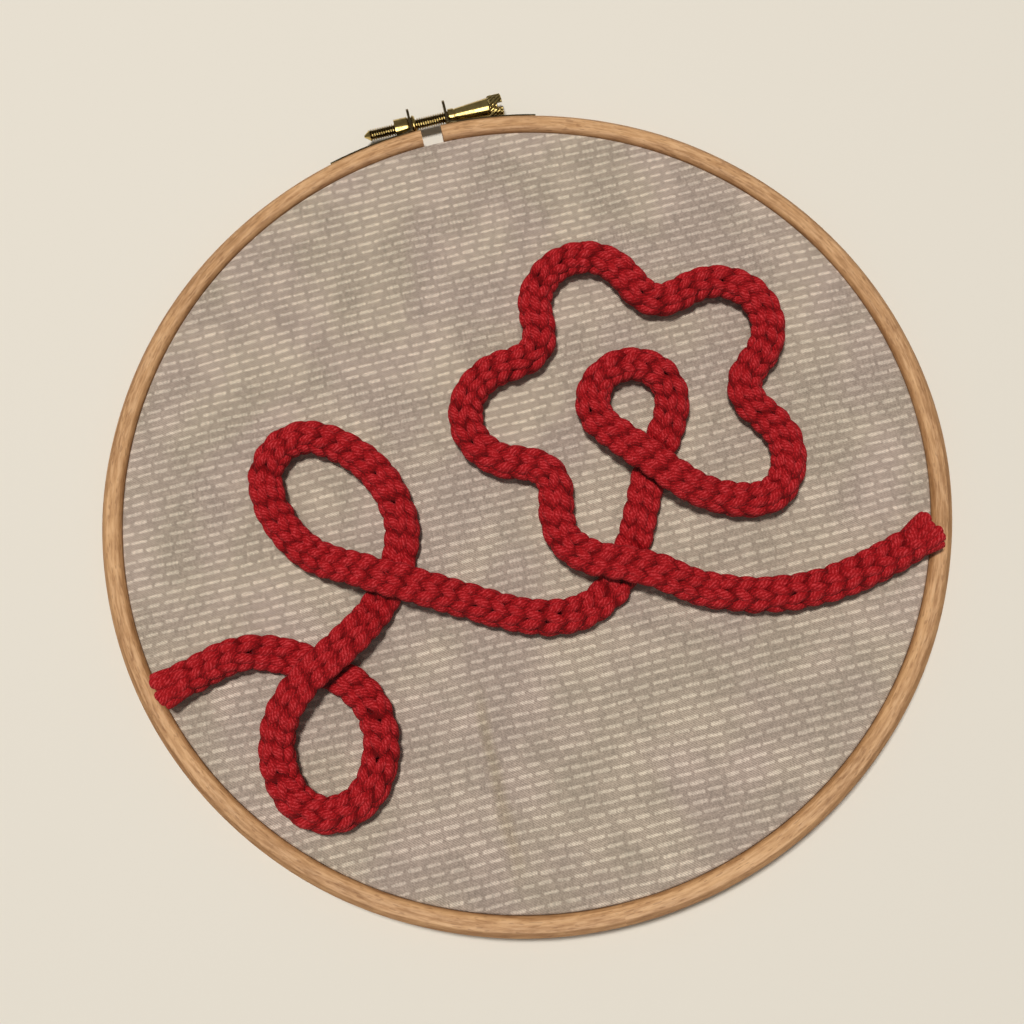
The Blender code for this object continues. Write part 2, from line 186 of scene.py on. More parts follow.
class Tree:
    """The nodes of one material, around its Principled shader."""

    def __init__(self, name: str) -> None:
        self.material = bpy.data.materials.new(name)
        self.material.use_nodes = True
        self.nodes = self.material.node_tree.nodes
        self.links = self.material.node_tree.links
        self.shader = self.nodes["Principled BSDF"]

    def node(
        self,
        kind: str,
        settings: dict[str, Any] | None = None,
        inputs: dict[Any, Any] | None = None,
        output: int | str = 0,
    ) -> Value:
        """Adds one node.

        Args:
            kind: the node's type name.
            settings: its own settings, set first; stops are a colour ramp's (place, colour) pairs.
            inputs: values or links for its sockets, by name or number.
            output: the output that the caller uses.

        Returns:
            That output.
        """
        node = self.nodes.new(kind)
        for key, value in (settings or {}).items():
            if key == "stops":
                self._set_stops(node.color_ramp, value)
            else:
                setattr(node, key, value)
        for key, value in (inputs or {}).items():
            self.plug(node.inputs[key], value)
        return Value(self, node.outputs[output])

    def _set_stops(self, ramp: bpy.types.ColorRamp, stops: Sequence[tuple[float, Colour]]) -> None:
        """Gives a colour ramp its stops."""
        while len(ramp.elements) < len(stops):
            ramp.elements.new(0.5)
        for element, (place, colour) in zip(ramp.elements, stops):
            element.position = place
            element.color = rgba(colour)

    def plug(self, socket: bpy.types.NodeSocket, value: Any) -> None:
        """Links a value to a socket, or sets the socket's own value."""
        if isinstance(value, Value):
            self.links.new(value.socket, socket)
        elif isinstance(value, tuple) and len(value) == 3 and socket.type == "RGBA":
            socket.default_value = rgba(value)
        else:
            socket.default_value = value

    def shade(self, **sockets: Any) -> None:
        """Sets the Principled shader's sockets, with _ for a space in their names."""
        for name, value in sockets.items():
            self.plug(self.shader.inputs[name.replace("_", " ")], value)

    def place(self) -> Value:
        """The point in the frame, in metres."""
        return self.node("ShaderNodeTexCoord", output="Object")

    def split(self, vector: Value) -> tuple[Value, Value, Value]:
        """The three numbers of a vector."""
        parts = self.node("ShaderNodeSeparateXYZ", inputs={0: vector}).socket.node
        return tuple(Value(self, parts.outputs[k]) for k in range(3))

    def join(self, x: Any, y: Any, z: Any = 0.0) -> Value:
        """A vector from three numbers."""
        return self.node("ShaderNodeCombineXYZ", inputs={0: x, 1: y, 2: z})

    def noise(self, where: Value, scale: float, detail: float = 2.0, roughness: float = 0.5) -> Value:
        """Smooth noise from 0 to 1.

        Args:
            where: the vector that it is read at.
            scale: features for each unit of the vector.
            detail: finer layers on top.
            roughness: how strong the finer layers are.

        Returns:
            The noise.
        """
        inputs = {"Vector": where, "Scale": scale, "Detail": detail, "Roughness": roughness}
        return self.node("ShaderNodeTexNoise", inputs=inputs)

    def random(self, x: Any, y: Any, z: float = 0.0) -> Value:
        """A random number from 0 to 1 for each place."""
        return self.node("ShaderNodeTexWhiteNoise", inputs={"Vector": self.join(x, y, z)})

    def mix(self, share: Any, a: Any, b: Any, how: str = "MIX") -> Value:
        """Blends two colours.

        Args:
            share: 0 for a, 1 for b.
            a: the first colour.
            b: the second colour.
            how: the blend type.

        Returns:
            The blended colour.
        """
        return self.node(
            "ShaderNodeMix", {"data_type": "RGBA", "blend_type": how}, {0: share, 6: a, 7: b}, 2
        )

    def bump(self, height: Value, distance: float, strength: float = 1.0) -> Value:
        """A normal raised by a height from 0 to 1.

        Args:
            height: the height, as a share of the distance.
            distance: the full height, in metres.
            strength: 0 to 1.

        Returns:
            The normal.
        """
        inputs = {"Height": height, "Distance": distance, "Strength": strength}
        return self.node("ShaderNodeBump", inputs=inputs)


@dataclass(frozen=True)
class Beech:
    """Sanded beech, bent along the hoop, with its short dark flecks, a painted highlight along the top of
    its face and painted shade off it.
    """

    name: str = "beech"
    pale: Colour = (0.71, 0.41, 0.19)
    mid: Colour = (0.50, 0.262, 0.112)
    deep: Colour = (0.31, 0.145, 0.053)
    fleck: Colour = (0.20, 0.085, 0.035)
    # Painted highlight: the pale colour laid along the middle of the ring's top face.
    crown_highlight: Colour = (0.78, 0.51, 0.31)
    seam_deg: float | None = None  # where the ring's glued ends meet, from the middle of the split

    def material(self) -> Material:
        """The finish."""
        tree = Tree(self.name)
        x, y, z = tree.split(tree.place())
        y = y - HOOP_MIDDLE_Y
        angle = x.atan2(y)  # from the split, so that the wrap lies opposite it
        radius = (x * x + y * y).root()
        along = angle * OUTER_R
        across = tree.join(along, radius, z)
        grain = tree.noise(self._stretched(tree, across, 9.0), 1700.0, 3.0, 0.65)
        broad = tree.noise(self._stretched(tree, across, 24.0), 600.0, 2.0)
        flame = tree.noise(self._stretched(tree, across, 4.5), 760.0, 2.0, 0.6)
        patch = tree.noise(across, 28.0, 1.0)
        tone = (grain * 0.40 + broad * 0.32 + flame * 0.28 + patch * 0.16).step(0.40, 0.78)
        wood = tree.node(
            "ShaderNodeValToRGB",
            {"stops": ((0.0, self.deep), (0.45, self.mid), (1.0, self.pale))},
            {0: tone},
        )
        dots = tree.noise(self._stretched(tree, across, 5.0), 2600.0, 0.0)
        more = tree.noise(across, 150.0, 0.0)
        flecks = (dots + more * 0.18).step(0.75, 0.84)
        # Painted highlight: the middle of the ring's top face is lightened towards a pale colour.
        off_crest = radius - (OUTER_R - 2.6 * MM)
        crest = off_crest.step(1.7 * MM, 0.9 * MM) * off_crest.step(-2.6 * MM, -1.1 * MM)
        lit_crest = z.step(OUTER_DEPTH - 0.7 * MM, OUTER_DEPTH - 0.12 * MM) * crest
        wood = tree.mix(lit_crest * 0.36 * grain.step(0.42, 0.66, 0.35, 1.0), wood, self.crown_highlight)
        # Painted shade: the rest of the ring, off the top face's middle, is darkened towards the deep
        # colour.
        wood = tree.mix(lit_crest.step(0.6, 0.0) * 0.30, wood, self.deep)
        colour = tree.mix(flecks * 0.34, wood, self.fleck)
        rough = grain.step(0.3, 0.8, 0.62, 0.50)
        if self.seam_deg is not None:
            turn = math.radians(self.seam_deg)
            slanted = abs((angle - turn) * OUTER_R - z * 2.2 + 7 * MM)
            line = slanted.step(0.22 * MM, 0.08 * MM)
            colour = tree.mix(line * 0.8, colour, self.fleck)
        height = grain * 0.6 + broad * 0.3 - flecks * 0.5
        tree.shade(
            Base_Color=colour, Roughness=rough, Normal=tree.bump(height, 0.05 * MM),
            Specular_IOR_Level=0.30,
        )
        return tree.material

    @staticmethod
    def _stretched(tree: Tree, across: Value, times: float) -> Value:
        """The place with its length along the grain shortened, so that the noise runs along it."""
        return tree.node(
            "ShaderNodeVectorMath", {"operation": "MULTIPLY"}, {0: across, 1: (1 / times, 1.0, 1.0)}
        )


@dataclass(frozen=True)
class Cotton:
    """Grey-beige plain weave, printed with rows of off-white dashes."""

    name: str = "printed_cotton"
    ground: Colour = (0.402, 0.322, 0.262)
    dash: Colour = (0.625, 0.525, 0.430)
    thread: float = 0.36 * MM
    twill: float = 0.68 * MM
    row: float = 2.47 * MM
    dash_pitch: float = 4.5 * MM
    dash_wide: float = 0.80 * MM
    soft_edge: float = 0.20 * MM
    rosy: Colour = (1.0, 0.980, 0.995)
    greenish: Colour = (0.985, 0.995, 0.955)
    # Painted shade along the first crease.
    crease_shade: Colour = (0.88, 0.86, 0.79)
    crease_shade_ends: tuple = ((-21 * MM, -46 * MM), (-22 * MM, -92 * MM))  # the ends of the painted shade along the first crease, from the hoop's middle

    def _dashes(self, tree: Tree, x: Value, y: Value, where: Value) -> Value:
        """How much print lies at a place.

        Args:
            tree: the material's nodes.
            x: along the rows.
            y: across the rows.
            where: the place, for noise.

        Returns:
            1 on a dash, 0 between them.
        """
        wander = tree.noise(where, 34.0, 1.0) - 0.5
        slow = tree.noise(where, 9.0, 0.0) - 0.5
        row_at = (y + wander * (1.5 * MM) + slow * (3.2 * MM)) / self.row
        row = row_at.floor()
        pitch = (tree.random(row, 3.1) * 0.22 + 0.89) * self.dash_pitch
        along = x / pitch + tree.random(row, 7.7) * 19.0
        cell = along.floor()
        share = along - cell
        early = tree.random(cell, row, 1.5) * 0.11 + 0.03
        late = 0.98 - tree.random(cell, row, 2.5) * 0.16
        lift = (tree.random(cell, row, 3.5) - 0.5) * 0.12
        lean = (tree.random(cell, row, 4.5) - 0.5) * 0.10
        past_end = (early - share).at_least(share - late) * self.dash_pitch
        off_line = abs(row_at - row - 0.5 - lift - (share - 0.5) * lean) * self.row
        fat = tree.random(cell, row, 5.5) * (0.16 * MM) + (self.dash_wide / 2 - 0.08 * MM)
        ragged = (tree.noise(where, 1500.0, 1.0) - 0.5) * (0.34 * MM)
        corner = self.dash_wide / 2
        dx = (past_end + corner).at_least(0.0)
        dy = (off_line - fat + corner).at_least(0.0)
        distance = (dx * dx + dy * dy).root() - corner + ragged
        return distance.step(self.soft_edge, -self.soft_edge)

    def _crease_shade_mark(self, tree: Tree, x: Value, y: Value, where: Value) -> Value:
        """How much painted shade darkens a place along the first crease: 1 on its line, 0 away from it."""
        start, end = (Vector(point) for point in self.crease_shade_ends)
        run = (end - start).normalized()
        long = (end - start).length
        right, up = x - start.x, y - start.y - HOOP_MIDDLE_Y
        across = right * run.y - up * run.x + (tree.noise(where, 60.0, 1.0) - 0.5) * (4 * MM)
        along = right * run.x + up * run.y
        ends = along.step(-5 * MM, 10 * MM) * along.step(long + 5 * MM, long - 10 * MM)
        return abs(across).step(2.6 * MM, 0.0) * ends

    def material(self) -> Material:
        """The finish."""
        tree = Tree(self.name)
        where = tree.place()
        x, y, z = tree.split(where)
        warp = (x * (math.pi / self.thread)).sin()
        weft = (y * (math.pi / self.thread)).sin()
        over = (warp * weft).step(-0.25, 0.25)
        weave = abs(warp) * over + abs(weft) * (1 - over)
        slub_up = tree.noise(tree.join(x * 1.0, y * 0.06), 1800.0, 1.0)
        slub_across = tree.noise(tree.join(x * 0.06, y * 1.0), 1800.0, 1.0)
        slub = slub_up * 0.5 + slub_across * 0.5
        patch = tree.noise(where, 22.0, 2.0)
        twill = ((x + y) * (2 * math.pi / self.twill)).sin() * 0.5 + 0.5
        shown = tree.noise(where, 75.0, 1.0).step(0.38, 0.68)  # how clearly the diagonals show
        speck = tree.random((x / self.thread).floor(), (y / self.thread).floor(), 9.5)
        fine = weave * 0.10 + twill * (shown * 0.34 + 0.14) + speck * 0.28
        bright = fine + slub * 0.62 + 0.35 + (patch - 0.5) * 0.10
        print_here = self._dashes(tree, x, y, where)
        worn = tree.noise(where, 700.0, 1.0).step(0.25, 0.6, 0.72, 1.0)
        front = z.step(CLOTH_TOP - 0.8 * MM, CLOTH_TOP - 0.3 * MM, 0.25, 1.0)
        cloth_tone = tree.mix(print_here * worn * front, self.ground, self.dash)
        leaning = tree.noise(where, 42.0, 1.0).step(0.35, 0.65)
        tint = tree.mix(leaning, self.rosy, self.greenish)
        # Painted shade along the first crease, laid over the cloth's random tint.
        aged = tree.mix(self._crease_shade_mark(tree, x, y, where), tint, self.crease_shade)
        cloth_tone = tree.mix(1.0, cloth_tone, aged, "MULTIPLY")
        light = tree.node("ShaderNodeCombineColor", inputs={0: bright, 1: bright, 2: bright})
        colour = tree.mix(1.0, cloth_tone, light, "MULTIPLY")
        height = weave * 0.5 + twill * 0.4 + slub * 0.6
        tree.shade(
            Base_Color=colour, Roughness=0.93, Normal=tree.bump(height, 0.09 * MM, 0.8),
            Sheen_Weight=0.12, Sheen_Roughness=0.5, Specular_IOR_Level=0.25,
        )
        return tree.material


@dataclass(frozen=True)
class Yarn:
    """Thick red yarn of several plies, matt and a little fuzzy, with painted shade where it turns inside the
    cord and in its ply grooves, and painted highlights on its ply crowns.
    """

    name: str = "red_yarn"
    bright: Colour = (0.66, 0.060, 0.068)
    mid: Colour = (0.38, 0.009, 0.0125)
    dark: Colour = (0.13, 0.002, 0.003)
    plies: int = 8
    ply_length: float = 1.05 * MM  # between ply lines, along the yarn
    uv: str = "yarn"

    def material(self) -> Material:
        """The finish."""
        tree = Tree(self.name)
        where = tree.place()
        around, along, _ = tree.split(tree.node("ShaderNodeUVMap", {"uv_map": self.uv}))
        wobble = (tree.noise(where, 1100.0, 2.0) - 0.5) * 1.5
        turn = (around * self.plies + along / self.ply_length + wobble) * (2 * math.pi)
        ply = turn.sin() * 0.5 + 0.5  # 0 in the grooves between plies, 1 on their crowns; the colour uses it as painted shade in the grooves and a painted highlight on the crowns, mixed with the fibres' own tone
        fibre = tree.noise(tree.join(around * 60.0 + along * 3800.0, along * 900.0), 1.0, 2.0, 0.6)
        fluff = tree.noise(where, 2600.0, 2.0, 0.6)
        # Painted shade: the yarn is darkened where it turns inside the cord, over the core and at the base
        # of the cut ends.
        inside = tree.node("ShaderNodeAttribute", {"attribute_name": "inside"}, output="Fac")
        streak = ply * tree.noise(where, 1500.0, 1.0).step(0.35, 0.62, 0.35, 1.0)
        tone = (streak * 0.36 + fibre * 0.42 + fluff * 0.48 - inside * 0.72).step(0.0, 1.06)
        colour = tree.node(
            "ShaderNodeValToRGB",
            {"stops": ((0.0, self.dark), (0.50, self.mid), (1.0, self.bright))},
            {0: tone},
        )
        height = streak * 0.5 + fibre * 0.2 + fluff * 0.45
        tree.shade(
            Base_Color=colour, Roughness=0.9, Normal=tree.bump(height, 0.20 * MM, 0.75),
            Sheen_Weight=0.10, Sheen_Roughness=0.5, Sheen_Tint=(1.0, 0.25, 0.26, 1.0),
            Specular_IOR_Level=0.10,
        )
        return tree.material


@dataclass(frozen=True)
class Brass:
    """Yellow brass, turned and a little tarnished, with painted shade in its thread's roots and between its
    knurl's ribs.
    """

    name: str = "aged_brass"
    bright: Colour = (0.66, 0.50, 0.19)
    tarnish: Colour = (0.27, 0.17, 0.06)
    # Painted shade for the thread's roots and the knurl's valleys.
    groove: Colour = (0.045, 0.030, 0.018)
    turned_marks: float = 0.35
    thread: tuple = (-16.9 * MM, 5.9 * MM, 1.50 * MM, 1.25 * MM)  # from x, to x, radius where the painted shade starts, radius where it is full
    knurl: tuple = (17.0 * MM, 20.9 * MM, 2.98 * MM, 2.72 * MM)

    def material(self) -> Material:
        """The finish."""
        tree = Tree(self.name)
        where = tree.place()
        x, y, z = tree.split(where)
        radius = (((y - AXIS_Y) * (y - AXIS_Y)) + ((z - AXIS_Z) * (z - AXIS_Z))).root()
        lathe = tree.noise(tree.join(x, radius), 9000.0, 2.0)
        cloudy = tree.noise(where, 480.0, 4.0, 0.6)
        spots = tree.noise(where, 1900.0, 2.0).step(0.60, 0.75)
        aged = (cloudy.step(0.40, 0.68) * 0.55 + spots * 0.35).at_most(1.0)
        # Painted shade in the thread's roots and between the knurl's ribs.
        groove_shades = [
            radius.step(clean, dark) * x.step(start, start + 0.2 * MM) * x.step(end, end - 0.2 * MM)
            for start, end, clean, dark in (self.thread, self.knurl)
        ]
        worn = tree.mix(aged, self.bright, self.tarnish)
        tree.shade(
            Base_Color=tree.mix((groove_shades[0] + groove_shades[1]) * 0.8, worn, self.groove),
            Metallic=1.0,
            Roughness=(cloudy * 0.14 + aged * 0.12 + lathe * 0.05) + 0.06,
            Normal=tree.bump(lathe * self.turned_marks + cloudy * 0.4, 0.02 * MM),
        )
        return tree.material


def dress(
    thing: Thing, material: Material, slot: Slot, body: Body, *nodes: str
) -> Thing:
    """Gives a finished piece its finish and its body.

    Args:
        thing: the piece.
        material: its finish.
        slot: the record's slot for it; not used.
        body: the body that it rides on.
        nodes: the solids that it stands for.

    Returns:
        The piece.
    """
    thing.data.materials.clear()
    thing.data.materials.append(material)
    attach(thing, body.value)
    if nodes:
        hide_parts(*nodes)
    LOG.info("%s: %d faces, rides on %s", thing.name, len(thing.data.polygons), body.value)
    return thing


def object_from(bm: BMesh, name: str, sharp_deg: float = 40.0) -> Thing:
    """Makes a bmesh an object at the origin, shaded smooth but for its sharp edges.

    Args:
        bm: the bmesh, which is freed.
        name: the object's name.
        sharp_deg: edges that turn more than this stay sharp.

    Returns:
        The object.
    """
    mesh = bpy.data.meshes.new(name)
    bm.to_mesh(mesh)
    bm.free()
    return object_of(mesh, name, sharp_deg)


def object_of(mesh: Mesh, name: str, sharp_deg: float = 40.0) -> Thing:
    """Puts a mesh in the scene, shaded smooth but for its sharp edges."""
    mesh.name = name
    mesh.shade_smooth()
    mesh.set_sharp_from_angle(angle=math.radians(sharp_deg))
    thing = bpy.data.objects.new(name, mesh)
    bpy.context.scene.collection.objects.link(thing)
    return thing


def baked(thing: Thing) -> Mesh:
    """The mesh of an object with its modifiers applied."""
    bpy.context.view_layer.update()
    return bpy.data.meshes.new_from_object(thing.evaluated_get(bpy.context.evaluated_depsgraph_get()))


def corner(x: float, z: float, radius: float, start_deg: float, steps: int = 6) -> Profile:
    """Points round a corner, clockwise.

    Args:
        x: the sharp corner's radius.
        z: the sharp corner's height.
        radius: of the rounding.
        start_deg: the direction in which the rounding starts, such as 90 for the top.
        steps: spans along it.

    Returns:
        The points as (radius, height).
    """
    middle = math.radians(start_deg - 45)
    cx = x - radius * math.copysign(1, math.cos(middle))
    cz = z - radius * math.copysign(1, math.sin(middle))
    angles = [math.radians(start_deg - 90 * i / steps) for i in range(steps + 1)]
    return [(cx + radius * math.cos(a), cz + radius * math.sin(a)) for a in angles]


def chain(bm: BMesh, points: Iterable[Point], closed: bool) -> list:
    """Adds vertices joined by edges.

    Args:
        bm: the bmesh.
        points: the vertices, in order.
        closed: whether the last joins the first.

    Returns:
        The vertices and edges, for an operator's geom.
    """
    verts = [bm.verts.new(p) for p in points]
    pairs = list(zip(verts, verts[1:])) + ([(verts[-1], verts[0])] if closed else [])
    return verts + [bm.edges.new(pair) for pair in pairs]


def tidy(bm: BMesh, distance: float = 0.002 * MM) -> None:
    """Merges doubled vertices and turns the faces outwards."""
    bmesh.ops.remove_doubles(bm, verts=bm.verts, dist=distance)
    bmesh.ops.recalc_face_normals(bm, faces=bm.faces)


def spun(
    points: Iterable[Point], cent: Point, axis: Point, steps: int, closed: bool, merge: bool = True
) -> BMesh:
    """Turns a line of points once about an axis.

    Args:
        points: the line.
        cent: a point on the axis.
        axis: its direction.
        steps: spans round it.
        closed: whether the line's last point joins its first.
        merge: whether the end of the turn joins its start.

    Returns:
        The bmesh.
    """
    bm = bmesh.new()
    geom = chain(bm, points, closed)
    bmesh.ops.spin(bm, geom=geom, cent=cent, axis=axis, angle=2 * math.pi, steps=steps, use_merge=merge)
    return bm


def soften(bm: BMesh, offset: float, over_deg: float = 35.0) -> None:
    """Bevels every edge that turns more than over_deg."""
    edges = [e for e in bm.edges if e.calc_face_angle(0) > math.radians(over_deg)]
    bmesh.ops.bevel(
        bm, geom=edges, offset=offset, segments=2, profile=0.5, affect="EDGES",
        material=-1, clamp_overlap=True,
    )


def fill_ends(bm: BMesh) -> None:
    """Closes every open loop with a face."""
    edges = [e for e in bm.edges if e.is_boundary]
    if edges:
        bmesh.ops.holes_fill(bm, edges=edges, sides=0)


@dataclass
class Hoops:
    """The two beech rings."""

    chamfer: float = 1.35 * MM
    inside_round: float = 1.7 * MM
    back_round: float = 1.3 * MM
    edge: float = 0.25 * MM
    edge_over_deg: float = 38.0
    split: float = 5.6 * MM
    inner_r: float = 100.3 * MM
    inner_wall: float = 4.6 * MM
    inner_top: float = 6.5 * MM
    inner_round: float = 0.9 * MM
    steps: int = 240
    unevenness: float = 0.16 * MM
    outer_finish: Beech = field(default_factory=Beech)
    inner_finish: Beech = field(
        default_factory=lambda: Beech(
            name="beech_inside", pale=(0.60, 0.36, 0.185), mid=(0.50, 0.27, 0.125), seam_deg=-118.0
        )
    )

    def _ring(self, section: Profile) -> BMesh:
        """A ring of this section, which starts and ends at the split without being joined there."""
        points = [(0.0, HOOP_MIDDLE_Y + r, z) for r, z in section]
        return spun(points, (0.0, HOOP_MIDDLE_Y, 0.0), (0, 0, 1), self.steps, closed=True, merge=False)

    def _wander(self, bm: BMesh) -> None:
        """Makes the outer side a little uneven, as sanded wood is."""
        for vert in bm.verts:
            flat = Vector((vert.co.x, vert.co.y - HOOP_MIDDLE_Y, 0))
            share = (flat.length - OUTER_R + OUTER_WALL) / OUTER_WALL
            out = noise.noise(vert.co * 28 + Vector((3, 1, 0))) * self.unevenness * share
            vert.co += flat.normalized() * (out - 0.04 * MM * share)

    def build_outer(self) -> Thing:
        """The outer ring with its split and crowned front."""
        inside = OUTER_R - OUTER_WALL
        section = corner(inside, OUTER_DEPTH, self.inside_round, 180)
        section += corner(OUTER_R, OUTER_DEPTH, self.chamfer, 90, 1)
        section += corner(OUTER_R, 0, self.back_round, 0, 5)
        section += corner(inside, 0, self.back_round, -90, 3)
        bm = self._ring(section)
        for side in (1, -1):
            middles = [(f, f.calc_center_median()) for f in bm.faces]
            near = [f for f, at in middles if 0 < side * at.x < 4 * self.split and at.y > 0]
            parts = set(near) | {e for f in near for e in f.edges} | {v for f in near for v in f.verts}
            bmesh.ops.bisect_plane(
                bm, geom=list(parts), dist=1e-7, plane_co=(side * self.split / 2, 0, 0),
                plane_no=(-side, 0, 0), clear_outer=True,
            )
        fill_ends(bm)
        tidy(bm)
        self._wander(bm)
        soften(bm, self.edge, self.edge_over_deg)
        ring = object_from(bm, "outer_ring", 35)
        return dress(ring, self.outer_finish.material(), Slot.BEECH, Body.HOOP, "outer_hoop")

    def build_inner(self) -> Thing:
        """The closed inner ring under the cloth."""
        section = corner(self.inner_r - self.inner_wall, self.inner_top, self.inner_round, 180, 4)
        section += corner(self.inner_r, self.inner_top, self.inner_round, 90, 4)
        section += corner(self.inner_r, 0, self.inner_round, 0, 4)
        section += corner(self.inner_r - self.inner_wall, 0, self.inner_round, -90, 4)
        bm = self._ring(section)
        tidy(bm)
        ring = object_from(bm, "inner_ring", 35)
        return dress(ring, self.inner_finish.material(), Slot.BEECH, Body.HOOP, "inner_hoop")


class Crease(NamedTuple):
    """A soft line in the stretched cloth, in metres from the hoop's middle."""

    start: tuple[float, float]
    end: tuple[float, float]
    width: float
    height: float  # below 0 for a trough


@dataclass
class StretchedCloth:
    """The cotton over the inner ring and down between the two."""

    outside_r: float = 101.84 * MM
    edge_round: float = 0.7 * MM
    hem: float = 0.8 * MM
    hem_wave: float = 0.45 * MM
    gather: float = 0.28 * MM  # how far the cloth waves in and out between the rings
    gathers: int = 96
    thick: float = 0.36 * MM
    ring_step: float = 1.6 * MM
    steps: int = 288
    cut_r: float = 108.5 * MM  # the round that it was cut to, laid flat
    creases: tuple[Crease, ...] = (
        Crease((-19 * MM, -44 * MM), (-20 * MM, -90 * MM), 3.0 * MM, 0.45 * MM),
        Crease((-24 * MM, -48 * MM), (-24 * MM, -90 * MM), 2.4 * MM, -0.30 * MM),
        Crease((4 * MM, -50 * MM), (-4 * MM, -86 * MM), 4.5 * MM, 0.16 * MM),
        Crease((52 * MM, 48 * MM), (68 * MM, 20 * MM), 5.0 * MM, 0.18 * MM),
        Crease((-58 * MM, 30 * MM), (-72 * MM, 4 * MM), 5.0 * MM, 0.14 * MM),
        Crease((20 * MM, 62 * MM), (-12 * MM, 78 * MM), 6.0 * MM, 0.14 * MM),
        Crease((60 * MM, -58 * MM), (36 * MM, -78 * MM), 5.0 * MM, -0.14 * MM),
    )
    finish: Cotton = field(default_factory=Cotton)

    def _rise(self, x: float, y: float) -> float:
        """How far the cloth stands over its flat plane, from the hoop's middle."""
        spot = Vector((x, y, 0))
        rise = noise.noise(spot * 26) * 0.10 * MM
        for crease in self.creases:
            start, end = Vector((*crease.start, 0)), Vector((*crease.end, 0))
            run = end - start
            share = (spot - start).dot(run) / run.length_squared
            bend = 1.6 * MM * math.sin(math.pi * share)
            off = (spot - start - run * share).length + bend
            fade = math.exp(-((max(0.0, abs(share - 0.5) - 0.3) / 0.24) ** 2))
            rise += crease.height * fade * math.exp(-((off / crease.width) ** 2))
        return rise

    def build(self) -> Thing:
        """The sheet, spun from its profile, creased, gathered and given its thickness."""
        flat_r = self.outside_r - self.edge_round
        rings = round(flat_r / self.ring_step)
        profile = [(flat_r * i / rings, CLOTH_TOP) for i in range(rings)]
        profile += corner(self.outside_r, CLOTH_TOP, self.edge_round, 90, 5)
        drop = CLOTH_TOP - self.edge_round - self.hem
        profile += [(self.outside_r, CLOTH_TOP - self.edge_round - drop * i / 6) for i in range(1, 7)]
        points = [(r, HOOP_MIDDLE_Y, z) for r, z in profile]
        bm = spun(points, (0, HOOP_MIDDLE_Y, 0), (0, 0, 1), self.steps, closed=False)
        bmesh.ops.remove_doubles(bm, verts=bm.verts, dist=0.002 * MM)
        for vert in bm.verts:
            self._settle(vert, flat_r, drop)
        bmesh.ops.recalc_face_normals(bm, faces=bm.faces)
        top = max(bm.faces, key=lambda f: f.calc_center_median().z)
        if top.normal.z < 0:
            bmesh.ops.reverse_faces(bm, faces=bm.faces)
        cloth = object_from(bm, "cotton_sheet", 80)
        wall = cloth.modifiers.new("Thickness", "SOLIDIFY")
        wall.thickness = self.thick
        wall.offset = -1
        cloth = dress(cloth, self.finish.material(), Slot.COTTON, Body.HOOP, "cloth")
        return cloth

    def _settle(self, vert: bmesh.types.BMVert, flat_r: float, drop: float) -> None:
        """Moves one point of the smooth sheet to its crease or gather.

        Args:
            vert: the point.
            flat_r: where the flat face ends.
            drop: height of the straight stretch between the rings.
        """
        x, y = vert.co.x, vert.co.y - HOOP_MIDDLE_Y
        radius = math.hypot(x, y)
        if radius < flat_r:
            inside = min(1.0, (flat_r - radius) / (9 * MM))
            vert.co.z += self._rise(x, y) * inside * inside * (3 - 2 * inside)
            return
        down = min(1.0, max(0.0, (CLOTH_TOP - self.edge_round - vert.co.z) / drop))
        angle = math.atan2(y, x)
        uneven = noise.noise(Vector((math.cos(angle), math.sin(angle), 0)) * 9)
        wave = 0.5 + 0.5 * math.sin(self.gathers * angle + 5 * uneven)
        inward = self.gather * 2 * down * wave
        vert.co.x -= inward * math.cos(angle)
        vert.co.y -= inward * math.sin(angle)
        fine = noise.noise(Vector((math.cos(angle), math.sin(angle), 2)) * 60)
        vert.co.z += down * self.hem_wave * (0.7 * uneven + 0.6 * fine)


class Leaf(NamedTuple):
    """A loop of the cord that draws a leaf, in millimetres from the hoop's middle."""

    base_x: float
    base_y: float
    tip_deg: float
    length: float
    width: float
    way: int


def turned(vector: Sequence[float], degrees: float) -> np.ndarray:
    """A flat vector turned anticlockwise."""
    a = math.radians(degrees)
    c, s = math.cos(a), math.sin(a)
    return np.array([c * vector[0] - s * vector[1], s * vector[0] + c * vector[1]])


def evenly(line: np.ndarray, step: float) -> np.ndarray:
    """The same line with points an even step apart."""
    along = np.concatenate([[0], np.cumsum(np.linalg.norm(np.diff(line, axis=0), axis=1))])
    at = np.linspace(0, along[-1], round(along[-1] / step) + 1)
    return np.stack([np.interp(at, along, line[:, k]) for k in range(line.shape[1])], axis=1)


def bump(distance: np.ndarray, flat: float, ramp: float) -> np.ndarray:
    """1 within flat of a place, falling smoothly to 0 over the ramp beyond it."""
    t = np.clip((np.abs(distance) - flat) / ramp, 0, 1)
    return 1 - t * t * (3 - 2 * t)


def cross(a: np.ndarray, b: np.ndarray) -> np.ndarray:
    """The area between flat vectors."""
    return a[..., 0] * b[..., 1] - a[..., 1] * b[..., 0]


